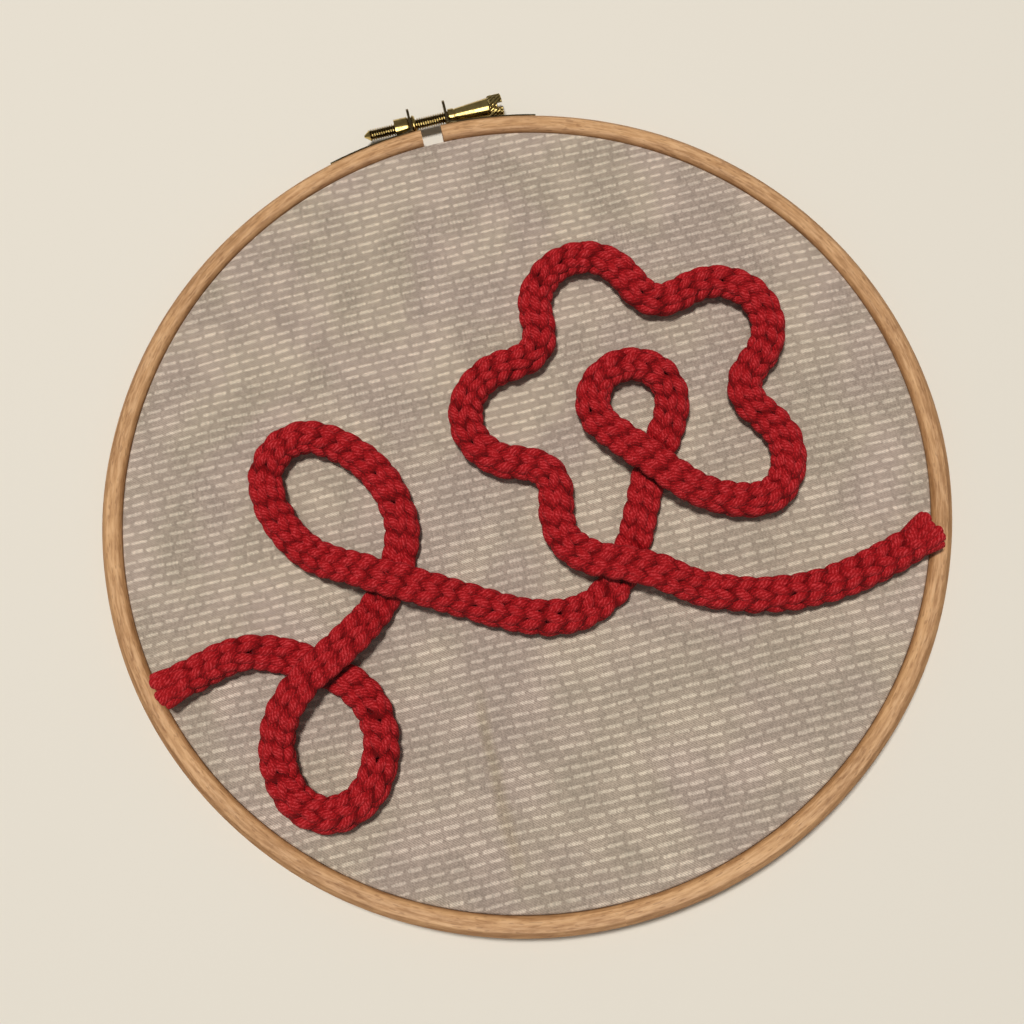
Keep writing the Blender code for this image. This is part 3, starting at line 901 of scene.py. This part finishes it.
@dataclass
class SprigRoute:
    """The line of the sprig, as the solids have it: two leaves, a stem and a flower."""

    cord_wide: float = 9.3 * MM
    cord_high: float = 6.8 * MM
    pressed_high: float = 4.2 * MM
    step: float = 1.0 * MM
    softness: float = 3.0 * MM
    cross_margin: float = 1.0 * MM
    cross_ramp: float = 14.0 * MM
    end_ramp: float = 12.0 * MM
    rest: float = CLOTH_TOP + GAP
    end_r: float = 102.6 * MM
    start_deg: float = 197.0
    finish_deg: float = -19.5
    from_the_rim: tuple = ((-88.0, -27.0), (-73.0, -24.5))
    lower_leaf: Leaf = Leaf(-55.0, -28.0, 261, 40.0, 26.0, 1)
    between_leaves: tuple = ((-44.0, -24.5),)
    upper_leaf: Leaf = Leaf(-30.0, -19.0, 122, 52.0, 27.0, -1)
    stem: tuple = ((-17.0, -26.0), (-5.0, -32.5), (7.0, -34.5), (18.0, -29.0), (26.0, -17.0), (33.0, -3.0))
    out_of_the_eye: tuple = ((34.5, -3.0), (41.5, -11.0))
    to_the_rim: tuple = ((27.0, -29.0), (37.0, -35.5), (50.0, -40.5), (65.0, -42.0), (81.0, -39.5))
    half_leaf: tuple = ((0.24, 0.25), (0.50, 0.48), (0.77, 0.44), (0.97, 0.20))
    flower: tuple[float, float] = (33.0 * MM, 15.0 * MM)
    petals: int = 5
    first_petal_deg: float = -44.0
    petal_out: float = 29.5 * MM
    petal_r: float = 13.3 * MM
    notch_r: float = 7.4 * MM
    eye_r: float = 10.5 * MM
    eye_degs: tuple = (-40, 0, 40, 80, 120, 160, 200, 232)
    petal_degs: tuple = (-75, -40, 0, 40, 75)
    first_petal_degs: tuple = (-25, 5, 40, 75)
    last_petal_degs: tuple = (-75, -40, -5, 20)
    notch_degs: tuple = (32, 0, -32)

    def _leaf(self, leaf: Leaf) -> list[np.ndarray]:
        """Points round a leaf from its base and back to it."""
        base = np.array([leaf.base_x, leaf.base_y])
        shape = self.half_leaf + tuple((along, -across) for along, across in reversed(self.half_leaf))
        steps = [(along * leaf.length, leaf.way * across * leaf.width) for along, across in shape]
        return [(base + turned(step, leaf.tip_deg)) * MM for step in steps]

    def _flower(self) -> list[np.ndarray]:
        """Points round the petals, anticlockwise."""
        middle = np.array(self.flower)
        half_step = 180 / self.petals
        along = self.petal_out * math.cos(math.radians(half_step))
        reach = self.petal_r + self.notch_r
        notch_out = along + math.sqrt(along**2 - self.petal_out**2 + reach**2)
        arcs = [self.first_petal_degs] + [self.petal_degs] * (self.petals - 2) + [self.last_petal_degs]
        out = []
        for k, arc in enumerate(arcs):
            axis = self.first_petal_deg + 2 * half_step * k
            petal = middle + turned((self.petal_out, 0), axis)
            out += [petal + turned((self.petal_r, 0), axis + degrees) for degrees in arc]
            if arc is not self.last_petal_degs:
                inward = axis + half_step + 180
                notch = middle - turned((notch_out, 0), inward)
                out += [notch + turned((self.notch_r, 0), inward + degrees) for degrees in self.notch_degs]
        return out

    def points(self) -> np.ndarray:
        """The points that the cord passes, from the hoop's middle."""
        middle = np.array(self.flower)
        eye = [middle + turned((self.eye_r, 0), degrees) for degrees in self.eye_degs]
        scaled = [[np.array(row) * MM for row in table] for table in (
            self.from_the_rim, self.between_leaves, self.stem, self.out_of_the_eye, self.to_the_rim)]
        rim_in, between, stem, eye_out, rim_out = scaled
        points = [turned((self.end_r, 0), self.start_deg)]
        points += rim_in + self._leaf(self.lower_leaf) + between + self._leaf(self.upper_leaf)
        points += stem + eye + eye_out + self._flower() + rim_out
        points += [turned((self.end_r, 0), self.finish_deg)]
        return np.array(points)

    @staticmethod
    def _smooth(points: np.ndarray, per_span: int = 16) -> np.ndarray:
        """A centripetal Catmull-Rom curve through the points."""
        ends = np.vstack([2 * points[0] - points[1], points, 2 * points[-1] - points[-2]])
        out = []
        for i in range(1, len(ends) - 2):
            p = ends[i - 1 : i + 3]
            spans = np.sqrt(np.linalg.norm(np.diff(p, axis=0), axis=1))
            knots = np.concatenate([[0], np.cumsum(spans)])
            pairs = ((knots[:3], knots[1:]), (knots[:2], knots[2:]), (knots[1:2], knots[2:3]))
            for t in np.linspace(knots[1], knots[2], per_span, endpoint=False):
                level = list(p)
                for lows, highs in pairs:
                    rows = zip(lows, highs, level, level[1:])
                    level = [((high - t) * a + (t - low) * b) / (high - low) for low, high, a, b in rows]
                out.append(level[0])
        out.append(points[-1])
        return np.array(out)

    def _softened(self, line: np.ndarray) -> np.ndarray:
        """The line averaged along its length, its ends kept in place."""
        reach = int(4 * self.softness / self.step)
        weights = np.exp(-0.5 * (np.arange(-reach, reach + 1) * self.step / self.softness) ** 2)
        weights /= weights.sum()
        padded = np.vstack(
            [2 * line[0] - line[reach:0:-1], line, 2 * line[-1] - line[-2 : -reach - 2 : -1]]
        )
        return np.stack([np.convolve(padded[:, k], weights, "valid") for k in range(2)], axis=1)

    @staticmethod
    def _crossings(line: np.ndarray) -> list[tuple[int, int, float]]:
        """Where the line passes over itself: (first place, second place, angle)."""
        found = []
        runs = np.diff(line, axis=0)
        for i in range(len(runs) - 2):
            others = np.arange(i + 2, len(runs))
            between = line[others] - line[i]
            area = cross(runs[i], runs[others])
            area = np.where(np.abs(area) < 1e-15, 1e-15, area)
            s = cross(between, runs[others]) / area
            t = cross(between, runs[i]) / area
            for j in others[(s >= 0) & (s < 1) & (t >= 0) & (t < 1)]:
                sine = abs(cross(runs[i], runs[j])) / np.linalg.norm(runs[i]) / np.linalg.norm(runs[j])
                found.append((i, int(j), math.asin(min(1.0, sine))))
        return found

    def line(self) -> tuple[np.ndarray, np.ndarray]:
        """The cord's middle line in the frame, and its height at each point."""
        line = evenly(self._smooth(self.points()), self.step)
        line = evenly(self._softened(line), self.step)
        along = np.arange(len(line)) * self.step
        pressed = np.zeros(len(line))
        lifted = np.zeros(len(line))
        for first, second, angle in self._crossings(line):
            half = self.cord_wide / 2
            flat = half / math.sin(angle) + half / math.tan(angle) + self.cross_margin
            for place in (first, second):
                pressed = np.maximum(pressed, bump(along - along[place], flat, self.cross_ramp))
            lifted = np.maximum(lifted, bump(along - along[second], flat, self.cross_ramp))
        high = self.cord_high - (self.cord_high - self.pressed_high) * pressed
        ends = np.minimum(along, along[-1] - along)
        onto_wood = (OUTER_DEPTH - CLOTH_TOP) * bump(ends, 0, self.end_ramp)
        bottom = self.rest + onto_wood + (self.pressed_high + GAP) * lifted
        line = line + np.array([0.0, HOOP_MIDDLE_Y])
        return np.column_stack([line, bottom + high / 2]), high


@dataclass
class KnittedCord:
    """One length of cord, tube-knitted from thick yarn: a spiral of stitches round its middle line."""

    route: SprigRoute = field(default_factory=SprigRoute)
    wales: int = 4
    course: float = 4.4 * MM  # along the cord, from one round of stitches to the next
    yarn_r: float = 1.41 * MM
    squeezed: float = 0.76  # of the yarn's radius, where it turns inside the tube
    loop_half: float = 3.1 * MM  # half a stitch's height
    lean: float = 0.23  # how far its legs lean, in stitch widths
    depth: float = 0.47 * MM  # half of how far a stitch's head and foot lie under its legs
    lower: float = 0.12 * MM  # settles onto the cloth
    flare: float = 0.14
    per_stitch: int = 22
    pieces: int = 3
    twist_deg: float = 34.0
    seed: int = 7
    end_margin: float = 6.6 * MM  # from the cord's end to the middle of its last stitch
    core_r: float = 0.9 * MM
    strand_r: float = 1.40 * MM
    strand_long: float = 11.5 * MM
    strand_degs: tuple = (4, 44, 72, 108, 138, 176, 228, 312)
    strand_cuts: tuple = (1.9, 1.2, 0.9, 1.7, 1.1, 1.5, 2.0, 1.8)  # short of the end, in millimetres
    fibres: int = 5200
    fibre_r: float = 0.022 * MM
    finish: Yarn = field(default_factory=Yarn)

    def _frames(self) -> tuple[np.ndarray, ...]:
        """The middle line's arc length, points, sideways and upward vectors, and half sizes."""
        line, high = self.route.line()
        along = np.concatenate([[0], np.cumsum(np.linalg.norm(np.diff(line, axis=0), axis=1))])
        ahead = np.gradient(line, axis=0)
        ahead /= np.linalg.norm(ahead, axis=1, keepdims=True)
        side = np.column_stack([ahead[:, 1], -ahead[:, 0], np.zeros(len(line))])
        side /= np.linalg.norm(side, axis=1, keepdims=True)
        up = np.cross(side, ahead)
        ends = np.minimum(along, along[-1] - along)
        flat = bump(ends, 1 * MM, 9 * MM)
        half_wide = self.route.cord_wide / 2 * (1 + self.flare * flat)
        half_high = high / 2 * (1 - 0.8 * self.flare * flat) + self.lower / 2
        line = line - np.array([0, 0, 1.0]) * (self.lower / 2)
        return along, line, side, up, half_wide, half_high

    def _yarn_line(self) -> tuple[np.ndarray, np.ndarray, np.ndarray]:
        """The yarn's own line through every stitch, its radius, and how far inside the tube it is."""
        along, line, side, up, half_wide, half_high = self._frames()
        rng = np.random.default_rng(self.seed)
        margin = self.end_margin
        stitches = int((along[-1] - 2 * margin) / self.course * self.wales)
        turns = np.linspace(0, stitches, stitches * self.per_stitch + 1)
        phase = 2 * math.pi * (turns % 1.0)

        def wander(size: float, spread: float = 1.0) -> np.ndarray:
            """Random numbers about 0, one for every few stitches, with smooth runs between."""
            count = int(stitches / spread) + 3
            return np.interp(turns / spread, np.arange(count), rng.normal(0, size, count))

        lean = self.lean + wander(0.05)
        wale = turns + lean * np.sin(2 * phase) + wander(0.08)
        twist = math.radians(self.twist_deg) * wander(1.0, 34.0)
        angle = 2 * math.pi * wale / self.wales + twist
        half = self.loop_half * (1 + wander(0.09))
        at = margin + self.course * turns / self.wales - half * np.cos(phase) + wander(0.30 * MM)
        inside = 0.5 + 0.5 * np.cos(2 * phase)
        radius = self.yarn_r * (1 - (1 - self.squeezed) * inside) * (1 + wander(0.07, 0.5))
        sunk = radius + 2 * self.depth * inside + np.abs(wander(0.10 * MM))
        along_at = lambda values: np.interp(at, along, values)
        wide = np.maximum(along_at(half_wide) - sunk, 0.2 * MM)
        tall = np.maximum(along_at(half_high) - sunk, 0.12 * MM)
        spot = np.stack([along_at(line[:, k]) for k in range(3)], axis=1)
        sideways = np.stack([along_at(side[:, k]) for k in range(3)], axis=1)
        upward = np.stack([along_at(up[:, k]) for k in range(3)], axis=1)
        spot += sideways * (wide * np.cos(angle))[:, None] + upward * (tall * np.sin(angle))[:, None]
        return spot, radius, inside

    def _tubes(
        self, name: str, spots: np.ndarray, radii: np.ndarray, inside: np.ndarray, sides: int = 3
    ) -> Mesh:
        """Stretches of yarn as closed tubes.

        Args:
            name: the mesh's name.
            spots: points along each line, as lines by points by three.
            radii: the radius at each point, as lines by points.
            inside: how far inside the cord the points of any line are, for the finish's painted shade.
            sides: the curve's bevel resolution.

        Returns:
            The mesh, with the yarn's turn and length in its UV map.
        """
        curve = bpy.data.curves.new(name, "CURVE")
        curve.dimensions = "3D"
        curve.bevel_depth = 1.0
        curve.bevel_resolution = sides
        curve.use_fill_caps = True
        count = spots.shape[1]
        for spot, radius in zip(spots, radii):
            spline = curve.splines.new("POLY")
            spline.points.add(count - 1)
            spline.points.foreach_set("co", np.column_stack([spot, np.ones(count)]).ravel())
            spline.points.foreach_set("radius", radius)
        guide = bpy.data.objects.new(name, curve)
        bpy.context.scene.collection.objects.link(guide)
        mesh = baked(guide)
        bpy.data.objects.remove(guide, do_unlink=True)
        length = np.concatenate([[0], np.cumsum(np.linalg.norm(np.diff(spots[0], axis=0), axis=1))])
        layer = mesh.uv_layers[0]
        layer.name = self.finish.uv
        uv = np.empty(2 * len(mesh.loops), np.float32)
        layer.data.foreach_get("uv", uv)
        uv = uv.reshape(-1, 2)
        ring = np.clip(np.rint(uv[:, 0] * (count - 1)).astype(int), 0, count - 1)
        uv = np.column_stack([uv[:, 1], length[ring]]).astype(np.float32)
        layer.data.foreach_set("uv", uv.ravel())
        # Painted shade: the finish darkens the yarn by this attribute, most where it turns inside the cord.
        shade = mesh.attributes.new("inside", "FLOAT", "CORNER")
        shade.data.foreach_set("value", inside[ring].astype(np.float32))
        bm = bmesh.new()
        bm.from_mesh(mesh)
        bmesh.ops.remove_doubles(bm, verts=bm.verts, dist=1e-7)
        bmesh.ops.recalc_face_normals(bm, faces=bm.faces)
        bm.to_mesh(mesh)
        bm.free()
        return mesh

    def _core(self) -> Mesh:
        """The filling inside the tube, so that no light shows through the stitches."""
        along, line, *_ = self._frames()
        run = (along > 4 * MM) & (along < along[-1] - 4 * MM)
        spots = line[run][None]
        # The core takes the yarn's full painted shade, standing for the shaded inside of the tube.
        return self._tubes("cord_core", spots, np.full(spots.shape[:2], self.core_r), np.ones(run.sum()))

    def _cut_ends(self) -> Mesh:
        """The cut yarns that come out from under the last stitches, side by side."""
        along, line, side, up, half_wide, half_high = self._frames()
        rng = np.random.default_rng(self.seed + 1)
        share = np.linspace(0, 1, 30)
        spots, radii = [], []
        for start in (True, False):
            for degrees, cut in zip(self.strand_degs, self.strand_cuts):
                from_end = self.strand_long + (cut * MM - self.strand_long) * share
                at = from_end if start else along[-1] - from_end
                angle = math.radians(degrees) + 0.10 * np.sin(5 * share + rng.uniform(0, 6))
                angle += rng.uniform(-0.12, 0.12)
                sunk = self.strand_r * (1 + 0.9 * (1 - share) ** 2) + 0.1 * MM
                rows = [
                    np.stack([np.interp(at, along, way[:, k]) for k in range(3)], 1)
                    for way in (line, side, up)
                ]
                wide = np.maximum(np.interp(at, along, half_wide) - sunk, 0.2 * MM) * np.cos(angle)
                tall = np.maximum(np.interp(at, along, half_high) - sunk, 0.1 * MM) * np.sin(angle)
                spots.append(rows[0] + rows[1] * wide[:, None] + rows[2] * tall[:, None])
                blunt = np.sqrt(np.clip(1 - ((share - 0.94) / 0.06).clip(0, 1) ** 2 * 0.6, 0, 1))
                radii.append(self.strand_r * blunt * rng.uniform(0.9, 1.06))
        # Painted shade: the cut ends darken towards where they come out from under the stitches.
        return self._tubes("cord_ends", np.array(spots), np.array(radii), 0.35 * (1 - share))

    def _fuzz(self, spot: np.ndarray, radius: np.ndarray, inside: np.ndarray) -> Mesh:
        """Short loose fibres that stand off the yarn.

        Args:
            spot: points along the yarn.
            radius: its radius at each.
            inside: how far inside the cord each is.

        Returns:
            The mesh of all fibres.
        """
        rng = np.random.default_rng(self.seed + 2)
        along, line, *_ = self._frames()
        free = np.flatnonzero(inside < 0.55)
        picked = rng.choice(free, self.fibres)
        base = spot[picked]
        ahead = np.gradient(spot, axis=0)[picked]
        ahead /= np.linalg.norm(ahead, axis=1, keepdims=True)
        out = rng.normal(0, 1, base.shape) + np.array([0, 0, 0.9])
        out -= ahead * (out * ahead).sum(axis=1, keepdims=True)
        out /= np.linalg.norm(out, axis=1, keepdims=True)
        reach = rng.uniform(0.25, 0.85, (self.fibres, 1)) * MM
        sweep = ahead * rng.uniform(-1, 1, (self.fibres, 1)) * MM
        root = base + out * (radius[picked, None] * 0.9)
        middle = root + out * (reach * 0.75) + sweep * 0.5
        tip = root + out * reach + sweep * 1.2 + rng.normal(0, 0.12 * MM, base.shape)
        spots = np.stack([root, middle, tip], axis=1)
        spots[..., 2] = np.maximum(spots[..., 2], CLOTH_TOP + 0.05 * MM)
        radii = np.tile([1.3, 1.0, 0.5], (self.fibres, 1)) * self.fibre_r
        return self._tubes("cord_fuzz", spots, radii, np.zeros(3), 0)

    def build(self) -> list[Thing]:
        """The whole cord: stitches in a few pieces along the yarn, its core, its cut ends and its fuzz."""
        spot, radius, inside = self._yarn_line()
        cuts = np.linspace(0, len(spot) - 1, self.pieces + 1).astype(int)
        meshes = []
        for k, (start, end) in enumerate(zip(cuts, cuts[1:]), 1):
            run = slice(start, end + 1)
            name = f"cord_stitches_{k}"
            meshes.append(self._tubes(name, spot[run][None], radius[run][None], inside[run]))
        meshes += [self._core(), self._cut_ends(), self._fuzz(spot, radius, inside)]
        material = self.finish.material()
        made = [object_of(mesh, mesh.name, 180) for mesh in meshes]
        return [dress(piece, material, Slot.YARN, Body.HOOP, "knitted_cord") for piece in made]


@dataclass
class Hardware:
    """The brass brackets, nut and tension screw."""

    nodes: dict[str, Thing]
    edge: float = 0.10 * MM
    rod_r: float = 1.65 * MM
    root_r: float = 1.12 * MM
    pitch: float = 0.66 * MM
    turn_steps: int = 28
    ear_x: float = 5.1 * MM
    plate: float = 0.7 * MM
    strip_thick: float = 0.42 * MM
    tip_x: float = -18.4 * MM
    tip_long: float = 1.8 * MM
    collar_r: float = 2.05 * MM
    collar_long: float = 1.6 * MM
    groove_r: float = 1.75 * MM
    groove_long: float = 0.4 * MM
    barrel_start_r: float = 1.85 * MM
    barrel_end_r: float = 2.6 * MM
    barrel_end_x: float = 17.1 * MM
    head_r: float = 3.05 * MM
    head_end_x: float = 21.0 * MM
    slot_wide: float = 1.1 * MM
    slot_deep: float = 1.5 * MM
    slot_deg: float = 33.0  # the photographed screw's turn
    ribs: int = 18
    rib_high: float = 0.36 * MM
    rib_turn_deg: float = 52.0
    nut_r: float = 2.6 * MM
    nut_long: float = 3.8 * MM
    nut_edge: float = 0.14 * MM
    bore_clear: float = 0.06 * MM
    neck_r: float = 2.25 * MM
    lip_long: float = 0.8 * MM
    finish: Brass = field(default_factory=Brass)
    # A darker copy of the brass for the brackets: painted shade.
    plate_finish: Brass = field(
        default_factory=lambda: Brass(
            name="shaded_brass_plate", bright=(0.30, 0.23, 0.12), tarnish=(0.13, 0.095, 0.05), turned_marks=0.1
        )
    )

    def _turned(self, profile: Profile, steps: int, closed: bool = False) -> BMesh:
        """A profile of (x, radius) points turned once about the screw's axis."""
        points = [(x, AXIS_Y + r, AXIS_Z) for x, r in profile]
        bm = spun(points, (0, AXIS_Y, AXIS_Z), (1, 0, 0), steps, closed)
        tidy(bm)
        return bm

    def _press_strip(self, vert: bmesh.types.BMVert) -> None:
        """Thins the strip past the bend and lays it against the wood."""
        past = (abs(vert.co.x) - self.ear_x - self.plate / 2) / (1.2 * MM)
        share = min(1.0, max(0.0, past))
        flat = Vector((vert.co.x, vert.co.y - HOOP_MIDDLE_Y, 0))
        over = flat.length - OUTER_R - GAP
        vert.co += flat.normalized() * share * (self.strip_thick / self.plate * over - over - GAP)

    def build_bracket(self, node: str, name: str) -> Thing:
        """One bracket, with the edges that stamping rounds.

        Args:
            node: the solid that it follows.
            name: the piece's name.

        Returns:
            The piece.
        """
        bm = bmesh.new()
        bm.from_mesh(self.nodes[node].data)
        bmesh.ops.remove_doubles(bm, verts=bm.verts, dist=0.001 * MM)
        bmesh.ops.dissolve_limit(bm, angle_limit=math.radians(0.6), verts=bm.verts, edges=bm.edges)
        for vert in bm.verts:
            self._press_strip(vert)
        soften(bm, self.edge)
        bracket = object_from(bm, name, 30)
        return dress(bracket, self.plate_finish.material(), Slot.BRASS, Body.HOOP, node)

    def build_nut(self) -> Thing:
        """The round nut, with its neck through the ear and its riveted lip."""
        outside = -self.ear_x - self.plate / 2 - GAP
        inside = -self.ear_x + self.plate / 2 + GAP
        bore = self.rod_r + self.bore_clear
        profile = [
            (inside + self.lip_long, bore),
            (inside + self.lip_long, self.nut_r - 0.3 * MM),
            (inside + self.lip_long * 0.5, self.nut_r),
            (inside, self.nut_r),
            (inside, self.neck_r),
            (outside, self.neck_r),
            (outside, self.nut_r),
            (outside - self.nut_long, self.nut_r),
            (outside - self.nut_long, bore),
        ]
        bm = self._turned(profile, 72, closed=True)
        soften(bm, self.nut_edge)
        nut = object_from(bm, "round_nut", 30)
        return dress(nut, self.finish.material(), Slot.BRASS, Body.HOOP, "nut")

    def _thread(self, start: float, end: float) -> BMesh:
        """The threaded rod: one pitch of thread, spun along the axis, cut flat at both ends."""
        turns = math.ceil((end - start) / self.pitch) + 2
        crest, root, p = self.rod_r - 0.02 * MM, self.root_r, self.pitch
        profile = [(0.0, root), (0.08 * p, root), (0.50 * p, crest), (0.62 * p, crest), (p, root)]
        bm = bmesh.new()
        first = start - p
        geom = chain(bm, [(first + x, AXIS_Y + r, AXIS_Z) for x, r in profile], closed=False)
        bmesh.ops.spin(
            bm, geom=geom, cent=(0, AXIS_Y, AXIS_Z), axis=(1, 0, 0), dvec=(p / self.turn_steps, 0, 0),
            angle=2 * math.pi * turns, steps=self.turn_steps * turns,
        )
        bmesh.ops.remove_doubles(bm, verts=bm.verts, dist=0.003 * MM)
        for x, way in ((start, -1), (end, 1)):
            everything = bm.verts[:] + bm.edges[:] + bm.faces[:]
            bmesh.ops.bisect_plane(
                bm, geom=everything, dist=1e-8, plane_co=(x, 0, 0), plane_no=(way, 0, 0), clear_outer=True
            )
        fill_ends(bm)
        bmesh.ops.recalc_face_normals(bm, faces=bm.faces)
        return bm

    def _knurled_head(self) -> Mesh:
        """The head: slanted ribs round it and a screwdriver's slot across its end."""
        per_rib = 6
        count = self.ribs * per_rib
        levels = 12
        start, end = self.barrel_end_x, self.head_end_x
        profile = [(start + (end - start) * i / levels, self.head_r) for i in range(levels + 1)]
        profile = [(start - 0.05 * MM, 0.0), (start - 0.05 * MM, self.barrel_end_r)] + profile
        profile[2:3] = [(start, self.head_r - 0.4 * MM), (start + 0.3 * MM, self.head_r)]
        profile[-1:] = [(end - 0.25 * MM, self.head_r), (end, self.head_r - 0.35 * MM), (end, 0.0)]
        bm = self._turned(profile, count)
        for vert in bm.verts:
            y, z = vert.co.y - AXIS_Y, vert.co.z - AXIS_Z
            radius = math.hypot(y, z)
            if radius < self.head_r - 0.5 * MM:
                continue
            share = (vert.co.x - start) / (end - start)
            turn = math.atan2(z, y) + math.radians(self.rib_turn_deg) * share
            rib = abs(math.sin(turn * self.ribs / 2))
            cut = self.rib_high * (1 - rib) * min(1.0, (radius - self.head_r + 0.5 * MM) / (0.4 * MM))
            factor = (radius - cut) / radius
            vert.co.y = AXIS_Y + y * factor
            vert.co.z = AXIS_Z + z * factor
        head = object_from(bm, "head_blank", 30)
        tool = bmesh.new()
        bmesh.ops.create_cube(tool, size=1.0)
        bmesh.ops.scale(tool, vec=(2 * self.slot_deep, self.slot_wide, 4 * self.head_r), verts=tool.verts)
        turn = Matrix.Rotation(math.radians(self.slot_deg), 3, "X")
        bmesh.ops.rotate(tool, cent=(0, 0, 0), matrix=turn, verts=tool.verts)
        bmesh.ops.translate(tool, vec=(self.head_end_x, AXIS_Y, AXIS_Z), verts=tool.verts)
        cutter = object_from(tool, "slot_tool")
        cut = head.modifiers.new("Slot", "BOOLEAN")
        cut.operation = "DIFFERENCE"
        cut.solver = "EXACT"
        cut.object = cutter
        mesh = baked(head)
        for helper in (head, cutter):
            bpy.data.objects.remove(helper, do_unlink=True)
        return mesh

    def build_screw(self) -> Thing:
        """The whole screw: thread, point, collar, tapered barrel and head, in one piece."""
        collar = self.ear_x + self.plate / 2 + GAP
        groove = collar + self.collar_long
        barrel = groove + self.groove_long
        tip_base = self.tip_x + self.tip_long
        shank = self._turned(
            [
                (collar, 0.0),
                (collar, self.collar_r),
                (groove, self.collar_r),
                (groove + 0.05 * MM, self.groove_r),
                (barrel - 0.05 * MM, self.groove_r),
                (barrel, self.barrel_start_r),
                (self.barrel_end_x, self.barrel_end_r),
                (self.barrel_end_x, 0.0),
            ],
            72,
        )
        soften(shank, self.edge)
        point = self._turned(
            [
                (self.tip_x, 0.0),
                (self.tip_x + 0.05 * MM, 0.28 * MM),
                (tip_base - 0.1 * MM, self.rod_r - 0.12 * MM),
                (tip_base + 0.15 * MM, self.root_r + 0.05 * MM),
                (tip_base + 0.15 * MM, 0.0),
            ],
            56,
        )
        thread = self._thread(tip_base, collar + 0.05 * MM)
        whole = bmesh.new()
        for part in (shank, point, thread):
            mesh = bpy.data.meshes.new("screw_part")
            part.to_mesh(mesh)
            part.free()
            whole.from_mesh(mesh)
            bpy.data.meshes.remove(mesh)
        whole.from_mesh(self._knurled_head())
        screw = object_from(whole, "thumb_screw", 32)
        return dress(screw, self.finish.material(), Slot.BRASS, Body.SCREW, "tension_screw")

    def build(self) -> None:
        """Every brass piece."""
        self.build_bracket("bracket_left", "nut_bracket")
        self.build_bracket("bracket_right", "head_bracket")
        self.build_nut()
        self.build_screw()


@dataclass(frozen=True)
class SoftBox:
    """A square area light, aimed at a place over the hoop."""

    name: str
    place: tuple[float, float, float]
    side: float
    watts: float
    colour: Colour
    lights: bool = True  # whether it lights matt things
    mirrored: bool = True  # whether shiny things mirror it


@dataclass
class Studio:
    """The pale floor, the soft lights and the camera."""

    floor_colour: Colour = (0.80, 0.752, 0.668)
    floor_side: float = 6.0
    surround: Colour = (1.0, 0.97, 0.92)
    surround_strength: float = 0.17
    lens_mm: float = 42.19
    sensor_mm: float = 36.0
    camera_place: tuple[float, float, float] = (-5.69 * MM, -85.69 * MM, 299.45 * MM)
    pitch_deg: float = 14.42
    lean_deg: float = 3.06
    turn_deg: float = -14.0
    aim: tuple[float, float, float] = (0.0, 0.0, 0.0)
    boxes: tuple[SoftBox, ...] = (
        SoftBox("key", (-0.14, 0.23, 1.9), 0.26, 30.0, (1.0, 0.985, 0.95), mirrored=False),
        SoftBox("window", (-0.14, -0.92, 1.08), 1.45, 31.0, (1.0, 0.98, 0.90), lights=False),
    )

    def build_floor(self) -> None:
        """A plain pale floor under the hoop."""
        bm = bmesh.new()
        bmesh.ops.create_grid(bm, x_segments=1, y_segments=1, size=self.floor_side / 2)
        bmesh.ops.translate(bm, vec=(0, 0, -0.05 * MM), verts=bm.verts)
        floor = object_from(bm, "floor")
        tree = Tree("pale_floor")
        tree.shade(Base_Color=self.floor_colour, Roughness=0.85, Specular_IOR_Level=0.2)
        floor.data.materials.append(tree.material)

    def build_lights(self) -> None:
        """The soft boxes and the even light of the room."""
        for box in self.boxes:
            lamp = bpy.data.lights.new(box.name, "AREA")
            lamp.size = box.side
            lamp.energy = box.watts
            lamp.color = box.colour
            thing = bpy.data.objects.new(box.name, lamp)
            thing.location = box.place
            thing.rotation_euler = (Vector(self.aim) - Vector(box.place)).to_track_quat("-Z", "Y").to_euler()
            thing.visible_diffuse = box.lights
            thing.visible_glossy = box.mirrored
            bpy.context.scene.collection.objects.link(thing)
        world = bpy.data.worlds.new("room")
        world.use_nodes = True
        background = world.node_tree.nodes["Background"]
        background.inputs["Color"].default_value = rgba(self.surround)
        background.inputs["Strength"].default_value = self.surround_strength
        bpy.context.scene.world = world

    def build_camera(self) -> None:
        """The camera, where the photograph was taken from."""
        data = bpy.data.cameras.new("camera")
        data.lens = self.lens_mm
        data.sensor_width = self.sensor_mm
        data.clip_start = 0.01
        camera = bpy.data.objects.new("camera", data)
        camera.location = self.camera_place
        camera.rotation_mode = "YXZ"
        camera.rotation_euler = [math.radians(d) for d in (self.pitch_deg, self.lean_deg, self.turn_deg)]
        bpy.context.scene.collection.objects.link(camera)
        bpy.context.scene.camera = camera

    def build(self) -> None:
        """All of the studio."""
        self.build_camera()
        self.build_floor()
        self.build_lights()
        bpy.context.scene.view_settings.view_transform = "Standard"


def main() -> None:
    """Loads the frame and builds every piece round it."""
    logging.basicConfig(level=logging.INFO, format="%(name)s: %(message)s")
    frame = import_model()
    Studio().build()
    steps: tuple[Callable[[], Any], ...] = (
        Hoops().build_outer,
        Hoops().build_inner,
        StretchedCloth().build,
        KnittedCord().build,
        Hardware(frame["nodes"]).build,
    )
    for step in steps:
        step()


if __name__ == "__main__":
    main()
